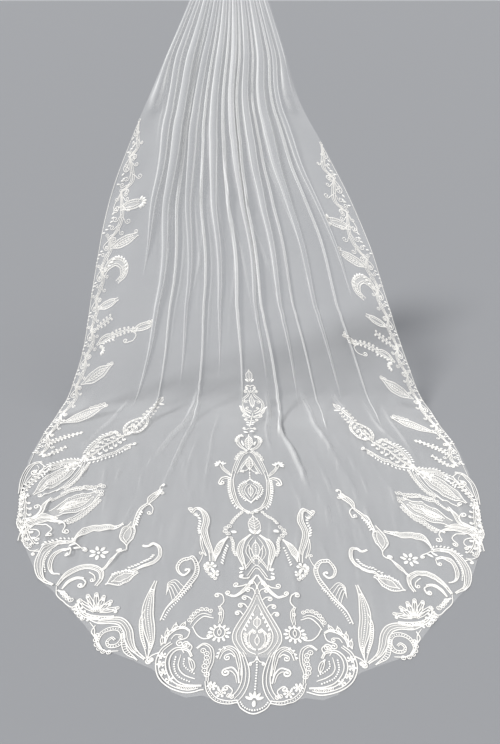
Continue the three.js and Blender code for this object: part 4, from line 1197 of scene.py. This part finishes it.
def side_spire(lace):
    lace.leaf(400, -24, 382, -58, 22, "cord")
    lace.flame(398, -20, 372, -18, 9)
    lace.flame(402, -20, 420, -34, 9)
    lace.vine([(402, -22), (414, 14), (428, 52)], [34, 44, 50], 19, False)
    for way in (1, -1):
        lace.ribbon([
            (430, 54), (436 + 24 * way, 76 - 6 * way), (446 + 36 * way, 110 - 14 * way),
            (456 + 28 * way, 148 - 12 * way), (470, 178),
        ], 12, "beads", (0.7, 0.6))
        lace.curl([
            (464, 170), (458 + 14 * way, 142 - 4 * way), (452 + 14 * way, 122 - 4 * way),
        ], 8, -way, LINE)
        lace.lobes([
            (436 + 30 * way, 78 - 8 * way), (446 + 42 * way, 110 - 16 * way),
            (458 + 34 * way, 148 - 14 * way),
        ], 12, 6, 13, way)
    lace.vine([(466, 172), (452, 140), (442, 104), (434, 66)], [34, 46, 42, 24], 20, False, False)
    lace.ring(430, 56, 6)
    lace.vine([
        (468, 176), (492, 204), (518, 236), (544, 276), (568, 310), (588, 334),
    ], [40, 62, 76, 66, 44, 26], 23)
    lace.ribbon([(516, 168), (548, 196), (572, 244), (584, 290), (588, 330)], 13, "beads", (0.6, 0.4))
    lace.curl([(520, 166), (512, 156), (502, 160)], 8, -1)
    lace.lobes([(530, 170), (560, 200), (584, 252), (592, 300)], 13, 7, 13, -1)
    lace.ribbon([(450, 240), (484, 286), (530, 324), (584, 344)], 13, "beads", (0.6, 0.4))
    lace.curl([(452, 244), (440, 232), (430, 238)], 8, 1)
    lace.lobes([(452, 256), (484, 300), (526, 334), (570, 350)], 13, 7, 13)
    lace.rings([(508, 160), (526, 158), (540, 178)], 7, 14)
    lace.rings([(444, 236), (440, 254), (456, 268)], 7, 14)
    lace.flower(588, 340, 17, 7)
    lace.ribbon([(592, 338), (636, 350), (680, 370), (716, 404)], 16, "cord", (0.7, 0.3))
    lace.ribbon([(594, 356), (636, 368), (676, 392), (710, 428)], 14, "beads", (0.7, 0.3))
    lace.lobes([(600, 334), (640, 344), (684, 362), (716, 392)], 12, 6, 12, -1)
    lace.nested([(608, 368), (640, 418), (684, 484), (720, 544)], 66, (0.35, 0.15))
    lace.ribbon([(586, 356), (592, 412), (612, 470), (648, 524)], 17, "beads", (0.7, 0.3))
    lace.rings([(568, 352), (574, 396), (586, 440), (604, 482), (624, 512)], 6.5, 13)
    lace.curl([(640, 512), (664, 532), (690, 552)], 9, -1)
    lace.vine([(600, 352), (618, 378), (642, 396)], [34, 40, 30], 19)


def side_fan(lace):
    lace.rings([(490, 502), (506, 488), (524, 498), (518, 518), (498, 520), (496, 544)], 8.5, 16)
    lace.nested([(640, 640), (592, 604), (548, 566), (508, 524)], 76, (0.5, 0.35))
    lace.nested([(618, 618), (586, 596), (560, 574)], 26, (0.4, 0.4), "none")
    lace.ribbon([(654, 578), (620, 538), (580, 514), (528, 506)], 12, "beads", (0.6, 0.5))
    lace.rings([(630, 534), (596, 508), (560, 496), (530, 492)], 6.5, 13)
    lace.ribbon([(606, 690), (562, 650), (528, 602), (500, 548)], 12, "beads", (0.6, 0.5))
    lace.rings([(582, 686), (546, 652), (516, 606), (494, 560)], 6.5, 13)
    lace.ribbon([(654, 560), (668, 596), (672, 634), (696, 664)], 18, "lines", (0.5, 0.7), OUTLINE)
    lace.curl([(716, 664), (690, 654), (674, 622), (682, 600)], 11, 1, 4.4)
    lace.ribbon([
        (596, 682), (640, 666), (684, 682), (704, 722), (704, 768),
    ], 24, "lines", (0.4, 0.6), OUTLINE)
    lace.ribbon([(612, 660), (652, 648), (692, 660), (720, 694)], 14, "cord", (0.4, 0.6))
    lace.curl([(644, 672), (608, 674), (586, 692), (588, 718)], 11, 1, 4.4)
    lace.curl([(676, 690), (642, 692), (622, 712), (632, 736)], 10, 1, 4.4)
    lace.curl([(688, 712), (664, 716), (654, 734), (662, 752)], 8, 1)
    lace.cord([
        (762, 540), (750, 600), (738, 640), (734, 690), (706, 732), (690, 778), (664, 806), (640, 800),
    ], OUTLINE)
    lace.vine([
        (742, 566), (726, 616), (716, 662), (700, 706), (680, 748), (656, 780),
    ], [30, 38, 36, 32, 28, 20], 26)
    lace.rings([(756, 560), (744, 606), (736, 650), (728, 692), (704, 732), (690, 770), (664, 796)], 7.5, 17)


def crescent(lace):
    lace.ribbon([
        (538, 772), (568, 766), (600, 778), (622, 812), (626, 860), (606, 916), (566, 946),
    ], 26, "lines", (0.4, 0.3), OUTLINE)
    lace.ribbon([
        (546, 806), (570, 800), (592, 824), (594, 864), (580, 896), (556, 906),
    ], 14, "cord", (0.7, 0.3), OUTLINE)
    lace.curl([(566, 802), (546, 806), (544, 826)], 8, -1)
    lace.curl([(540, 776), (520, 790), (504, 796)], 7, -1)
    lace.lobes([(534, 764), (566, 754), (600, 764), (628, 792)], 11, 6, 10, -1)
    lace.dots([(604, 800), (612, 850), (600, 896)], 2.6, 7)
    lace.curl([(634, 812), (648, 808), (656, 818)], 6, 1)
    lace.flame(534, 778, 556, 792, 8)
    lace.flame(520, 790, 540, 802, 8)


def volute(lace):
    lace.ribbon([
        (556, 948), (540, 906), (512, 876), (478, 868), (448, 884), (440, 914), (450, 944),
    ], 20, "lines", (0.4, 0.5), OUTLINE)
    lace.curl([(478, 890), (462, 902), (456, 918)], 8, -1)
    lace.ribbon([(540, 958), (528, 930), (508, 914), (488, 918)], 11, "cord", (0.5, 0.8), OUTLINE)
    lace.curl([(492, 918), (480, 930), (482, 946)], 9, -1, 5)
    lace.cord([(556, 950), (548, 980), (522, 1006), (498, 1026), (484, 1010)], OUTLINE)
    lace.rings([(538, 966), (520, 988), (500, 1004)], 8, 15)
    lace.ribbon([(550, 962), (530, 974), (512, 996)], 10, "cord", (0.5, 0.5))


def hem_fan(lace):
    for k, (x, y) in enumerate(((482, 1000), (464, 980), (442, 974), (420, 984), (398, 1000), (376, 1024))):
        lace.leaf(436 - 3 * k, 1038, x, y, 17, "cord", 0.0, (0.4, 0.7))
        lace.curl([(436 - 3 * k, 1030), ((x + 436) / 2 + 4, (y + 1030) / 2), (x + 3, y + 8)], 5, -1, LINE)
        lace.ring(x, y, 6)
    lace.ribbon([
        (486, 1012), (476, 1034), (452, 1052), (420, 1058), (380, 1054),
    ], 16, "beads", (0.6, 0.6), OUTLINE)
    lace.vine([(488, 1016), (466, 1046), (440, 1064)], [24, 26, 18], 15, False)
    lace.rings([(494, 1024), (478, 1046), (456, 1066)], 7, 14)


def hem_wave(lace):
    lace.ribbon([
        (446, 1058), (416, 1070), (384, 1066), (356, 1074), (338, 1098), (328, 1130), (312, 1160),
        (280, 1188),
    ], 27, "lines", (0.5, 0.3), OUTLINE)
    lace.ribbon([
        (364, 1132), (374, 1124), (384, 1136), (376, 1150), (356, 1148), (346, 1126), (356, 1100),
        (380, 1094), (402, 1108), (408, 1136), (394, 1160),
    ], 14, "beads", (0.5, 0.5))
    lace.ribbon([(350, 1110), (342, 1138), (330, 1166), (298, 1192)], 14, "bars", (0.5, 0.3))
    lace.curl([(424, 1084), (430, 1104), (420, 1120)], 8, 1)
    lace.rings([(416, 1124), (408, 1148), (390, 1166), (366, 1170)], 7, 14)
    lace.lobes([(398, 1062), (420, 1052), (442, 1046)], 12, 6, 10)
    lace.cord([(440, 1074), (424, 1096), (418, 1122), (402, 1150), (380, 1166), (350, 1166)], OUTLINE)


def edge_trim(lace):
    lace.cord([(781, -1060), (782, -700), (782, -300), (781, 110), (776, 380)], step=8)
    for points, widths in (
        ([(780, -1074), (764, -1034), (742, -990), (760, -952)], [12, 28, 42, 36]),
        ([(762, -958), (738, -914), (722, -872), (748, -832)], [34, 54, 56, 36]),
        ([(750, -838), (734, -796), (720, -748), (728, -700), (752, -660)], [38, 58, 60, 48, 34]),
        ([(752, -668), (738, -628), (752, -586), (760, -548)], [36, 50, 40, 30]),
        ([(762, -556), (744, -514), (752, -470), (762, -430)], [32, 48, 44, 30]),
        ([(762, -438), (748, -396), (756, -352), (762, -312)], [30, 44, 38, 30]),
        ([(762, -320), (744, -282), (750, -244), (764, -206)], [32, 50, 44, 28]),
        ([(764, -212), (752, -166), (758, -118), (764, -76)], [28, 42, 36, 30]),
        ([(764, -84), (748, -40), (756, 10), (766, 56)], [30, 44, 38, 28]),
        ([(766, 50), (752, 96), (754, 146), (764, 192)], [28, 42, 40, 28]),
        ([(764, 186), (748, 232), (742, 276), (756, 322)], [30, 46, 50, 36]),
    ):
        lace.ribbon(points, 15, "cord", (0.5, 0.5))
        lace.vine(points, widths, 38, False, False)
        fine = spline(points, 6)
        inward = offset(fine, -widths[1] / 2)
        x, y = inward[len(inward) // 3]
        lace.curl([fine[1], (x + 4, y - 12), (x, y)], 10, 1)
        lace.curl([fine[-2], (fine[-2][0] - 12, fine[-2][1] - 6)], 9, -1)
        lace.lobes(inward[len(inward) // 3::2], 13, 7, 14, -1)
        lace.ring(*points[0], 7)
    lace.nested([(734, -774), (702, -790), (650, -806)], 36, (0.4, 0.5), "none")
    lace.petals(668, -802, 24, 6, 10, 2.0, 2.6)
    lace.nested([(740, -634), (704, -652), (646, -690)], 38, (0.3, 0.4))
    lace.rings([(664, -702), (648, -696)], 7, 14)
    lace.nested([
        (744, -520), (734, -562), (706, -586), (672, -572), (664, -536), (682, -508),
    ], 36, (0.3, 0.5), "none")
    lace.lobes([(740, -560), (712, -606), (672, -600), (648, -562)], 17, 9, 14, -1, 1.0)
    lace.rings([(670, -570), (662, -542), (676, -516)], 7, 13)
    lace.nested([(746, -402), (706, -420), (662, -446)], 32, (0.4, 0.4), "none")
    lace.vine([(742, -322), (706, -350), (676, -376)], [18, 30, 24], 15, False)
    lace.nested([(746, -96), (700, -130), (634, -188)], 52, (0.15, 0.1))
    lace.rings([(658, -180), (636, -192)], 7, 13)


def edge_spray(lace):
    lace.nested([(724, -258), (690, -288), (652, -302)], 30, (0.3, 0.5), "none")
    lace.vine([(668, -296), (640, -314), (604, -328), (572, -330)], [26, 30, 24, 18], 14, False)
    lace.curl([(598, -326), (574, -312), (580, -288), (604, -276)], 9, -1)
    lace.nested([(588, -326), (556, -342), (514, -358)], 32, (0.4, 0.5), "none")
    lace.rings([(540, -360), (520, -366), (512, -350)], 7, 14)
    lace.petals(704, -236, 24, 6, 9, 2.2, 2.6)
    lace.lobes([(716, -250), (690, -276), (656, -290)], 15, 8, 13, -1, 1.0)


def corner_palm(lace):
    lace.nested([(746, 106), (690, 64), (650, 30), (608, -4)], 50, (0.15, 0.2))
    lace.rings([(668, 14), (644, 0), (618, -10), (604, 4)], 7.5, 15)
    lace.vine([(740, 254), (716, 216), (684, 190), (640, 162)], [20, 28, 26, 16], 15, False)
    lace.rings([(674, 180), (650, 166), (634, 158)], 6.5, 14)
    lace.vine([(730, 324), (706, 298), (672, 260)], [20, 26, 16], 15, False)
    lace.ribbon([(766, 540), (774, 480), (776, 424), (762, 372), (734, 358)], 18, "cord", (0.6, 0.6), OUTLINE)
    lace.curl([(742, 362), (720, 388), (730, 424)], 16, -1, 4.4)
    lace.curl([(748, 378), (736, 396), (740, 414)], 8, -1, LINE)
    lace.vine([(716, 402), (730, 450), (746, 492), (756, 536)], [24, 28, 24, 18], 16, False)
    lace.lobes([(704, 372), (702, 404), (716, 446)], 13, 7, 12)
    lace.ribbon([(742, 404), (752, 450), (760, 498)], 10, "none", (0.4, 0.6))
    lace.flower(744, 552, 16, 6)
    lace.rings([(758, 526), (756, 550), (748, 572)], 8, 15)


CENTRE = [centre_spire, centre_wreath, wreath_pendant, lotus_bud, hem_medallion]
SIDES = [
    bead_arm, rosette_drop, hem_roundel, hem_florets, scroll_plume, fern_scroll, bead_leaf, hooked_leaf,
    ribbon_leaf, star_flower, side_spire, side_fan, crescent, volute, hem_fan, hem_wave, edge_trim,
    edge_spray, corner_palm,
]


def tulle_mesh():
    """The whole cut in one layer: level rows to the end of the folds, then rows that spread to the hem."""
    line = np.linspace(-SPREAD_HALF, SPREAD_HALF, TULLE_COLUMNS + 1)
    upper = np.concatenate([np.arange(*HANGING_ROWS), np.arange(*BENDING_ROWS)]) - HANG
    hem = skewed(line, np.interp(line, HEM_ACROSS, HEM_DOWNS))
    lower = upper[-1] + (hem - upper[-1]) * np.arange(1, LOWER_ROWS + 1)[:, None] / LOWER_ROWS
    down = np.vstack([np.tile(upper[:, None], len(line)), lower])
    across = np.broadcast_to(line, down.shape)
    places = looked_up(TABLE, across, down).reshape(-1, 3) / 1000
    uvs = np.stack([across * FLAT_HALF / SPREAD_HALF, -down], axis=2).reshape(-1, 2) / 1000
    data = make_mesh("tulle_panel_cloth", places, grid(np.arange(down.size).reshape(down.shape)), uvs, TULLE)
    # Cover of one layer, more in pressed folds, and raised where the cloth turns away from the veil's front
    # as painted bright streaks along the fold flanks
    facing = looked_up(FACING, across, down).ravel()
    bunched = looked_up(BUNCHED, across, down).ravel()
    cover_and_painted_streaks = 1 - (1 - NET_COVER) ** ((1 + bunched) / np.maximum(facing, LEAST_FACING) ** FACING_POWER)
    data.attributes.new("cover_and_painted_streaks", "FLOAT", "POINT").data.foreach_set("value", cover_and_painted_streaks)
    return data


binding_low, binding_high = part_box("comb_binding")
binding_y = (binding_low[1] + binding_high[1]) * 500 + BINDING_MIDDLE * math.sin(LEAN)


def leaned(points):
    """Points beside the comb, in the comb's own slope, as places in metres."""
    x, y, z = points.T
    turned_y = y * math.cos(LEAN) + z * math.sin(LEAN)
    turned_z = z * math.cos(LEAN) - y * math.sin(LEAN)
    return np.stack([x, turned_y + binding_y, turned_z], axis=1) / 1000


def binding_mesh():
    """Satin folded over the gathered edge, as a closed shell with a slight pucker."""
    arc = np.linspace(0, math.pi, 9)
    ys = np.concatenate([[BINDING_HALF] * 6, BINDING_HALF * np.cos(arc), [-BINDING_HALF] * 6])
    zs = np.concatenate([
        np.linspace(-BINDING_DROP, -BINDING_TOP, 6),
        BINDING_CROWN * np.sin(arc) + BINDING_TOP,
        np.linspace(-BINDING_TOP, -BINDING_DROP, 6),
    ])
    path = np.stack([ys, zs], axis=1)
    along = tangents(path)
    columns = np.linspace(-BINDING_WIDTH / 2, BINDING_WIDTH / 2, 106)
    pucker = PUCKER * waves(31, 6, (4, 11), (30, 60))(columns, 3.0 * np.arange(len(path))[:, None])
    spots = []
    for thick in BINDING_FACES:
        swell = thick + pucker
        ys = path[:, :1] + along[:, 1:] * swell
        zs = path[:, 1:] - along[:, :1] * swell
        spots.append(np.stack([np.broadcast_to(columns, ys.shape), ys, zs], axis=2).reshape(-1, 3))
    outer = np.arange(ys.size).reshape(ys.shape)
    inner = outer + ys.size
    faces = grid(outer) + grid(inner.T)
    for first, second in (
        (outer[0], inner[0]), (inner[-1], outer[-1]),
        (inner[:, 0], outer[:, 0]), (outer[:, -1], inner[:, -1]),
    ):
        faces += grid(np.stack([first, second], axis=1))
    flat = np.stack(np.broadcast_arrays(columns, lengths(path)[:, None]), axis=2).reshape(-1, 2) / 1000
    uvs = np.tile(flat, (2, 1))
    return make_mesh("comb_binding_ribbon", leaned(np.vstack(spots)), faces, uvs, ribbon_material())


def stitch_mesh():
    """Straight stitches in two rows through the binding, one on each face."""
    spots, faces = [], []
    for face in (1, -1):
        for x in STITCH_PLACES:
            index = len(spots) + np.arange(len(STITCH_RINGS) * STITCH_SIDES).reshape(-1, STITCH_SIDES)
            for end, width in STITCH_RINGS:
                for k in range(STITCH_SIDES):
                    angle = 2 * math.pi * k / STITCH_SIDES
                    y = face * (BINDING_HALF + STITCH_OUT) + width * math.cos(angle)
                    spots.append((x + end, y, STITCH_Z + width * math.sin(angle)))
            faces += grid(np.hstack([index, index[:, :1]]).T)
            faces += [index[0, ::-1].tolist(), index[-1].tolist()]
    spots = np.array(spots)
    return make_mesh("binding_stitches", leaned(spots), faces, spots[:, [0, 2]] / 1000, CORD)


def add_object(name, data):
    made = bpy.data.objects.new(name, data)
    bpy.context.scene.collection.objects.link(made)
    return made


def add_piece(data, node=None):
    piece = add_object(data.name, data)
    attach(piece, "root")
    if node:
        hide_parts(node)
    return piece


tulle = add_piece(tulle_mesh(), "tulle_panel")
for motifs, copies in ((CENTRE, {"": 1}), (SIDES, {"_right": 1, "_left": -1})):
    for draw in motifs:
        work = Lace()
        draw(work)
        for side, mirror in copies.items():
            node = draw.__name__ + side
            add_piece(work.mesh(node + "_lace", mirror), node)

# Satin binding, folded over the gathered edge, with two rows of stitches, and the comb
binding = add_piece(binding_mesh(), "comb_binding")
stitches = add_piece(stitch_mesh())
resin = comb_material()
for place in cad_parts["hair_comb"].material_slots:
    place.link = "OBJECT"
    place.material = resin

# Floor
floor_data = bpy.data.meshes.new("floor")
floor_z = -(FLOOR_DROP + FLOOR_GAP) / 1000
floor_corners = [(x * FLOOR_HALF, y * FLOOR_HALF, floor_z) for x, y in ((-1, -1), (1, -1), (1, 1), (-1, 1))]
floor_data.from_pydata(floor_corners, [], [(0, 1, 2, 3)])
floor_data.materials.append(new_material("floor_paper", (0.262, 0.266, 0.275), 0.9)[0])
add_object("floor", floor_data)

# Light
world = bpy.data.worlds.new("studio")
bpy.context.scene.world = world
world.use_nodes = True
background = world.node_tree.nodes["Background"]
background.inputs["Color"].default_value = (0.93, 0.95, 1, 1)
background.inputs["Strength"].default_value = 0.55
for name, strength, angle, rotation in (("key", 2.7, 12, (42, 0, -48)), ("fill", 0.7, 40, (35, 0, 60))):
    sun = bpy.data.lights.new(name, "SUN")
    sun.energy = strength
    sun.angle = math.radians(angle)
    add_object(name, sun).rotation_euler = [math.radians(value) for value in rotation]

# Camera
camera_data = bpy.data.cameras.new("camera")
camera_data.sensor_width = 36
camera_data.lens = CAMERA_LENS
camera = add_object("camera", camera_data)
camera.location = CAMERA_PLACE
camera.rotation_euler = (math.radians(90 - LOOK_DOWN), 0, 0)
bpy.context.scene.camera = camera
bpy.context.scene.view_settings.view_transform = "Standard"
bpy.context.scene.cycles.transparent_max_bounces = 48
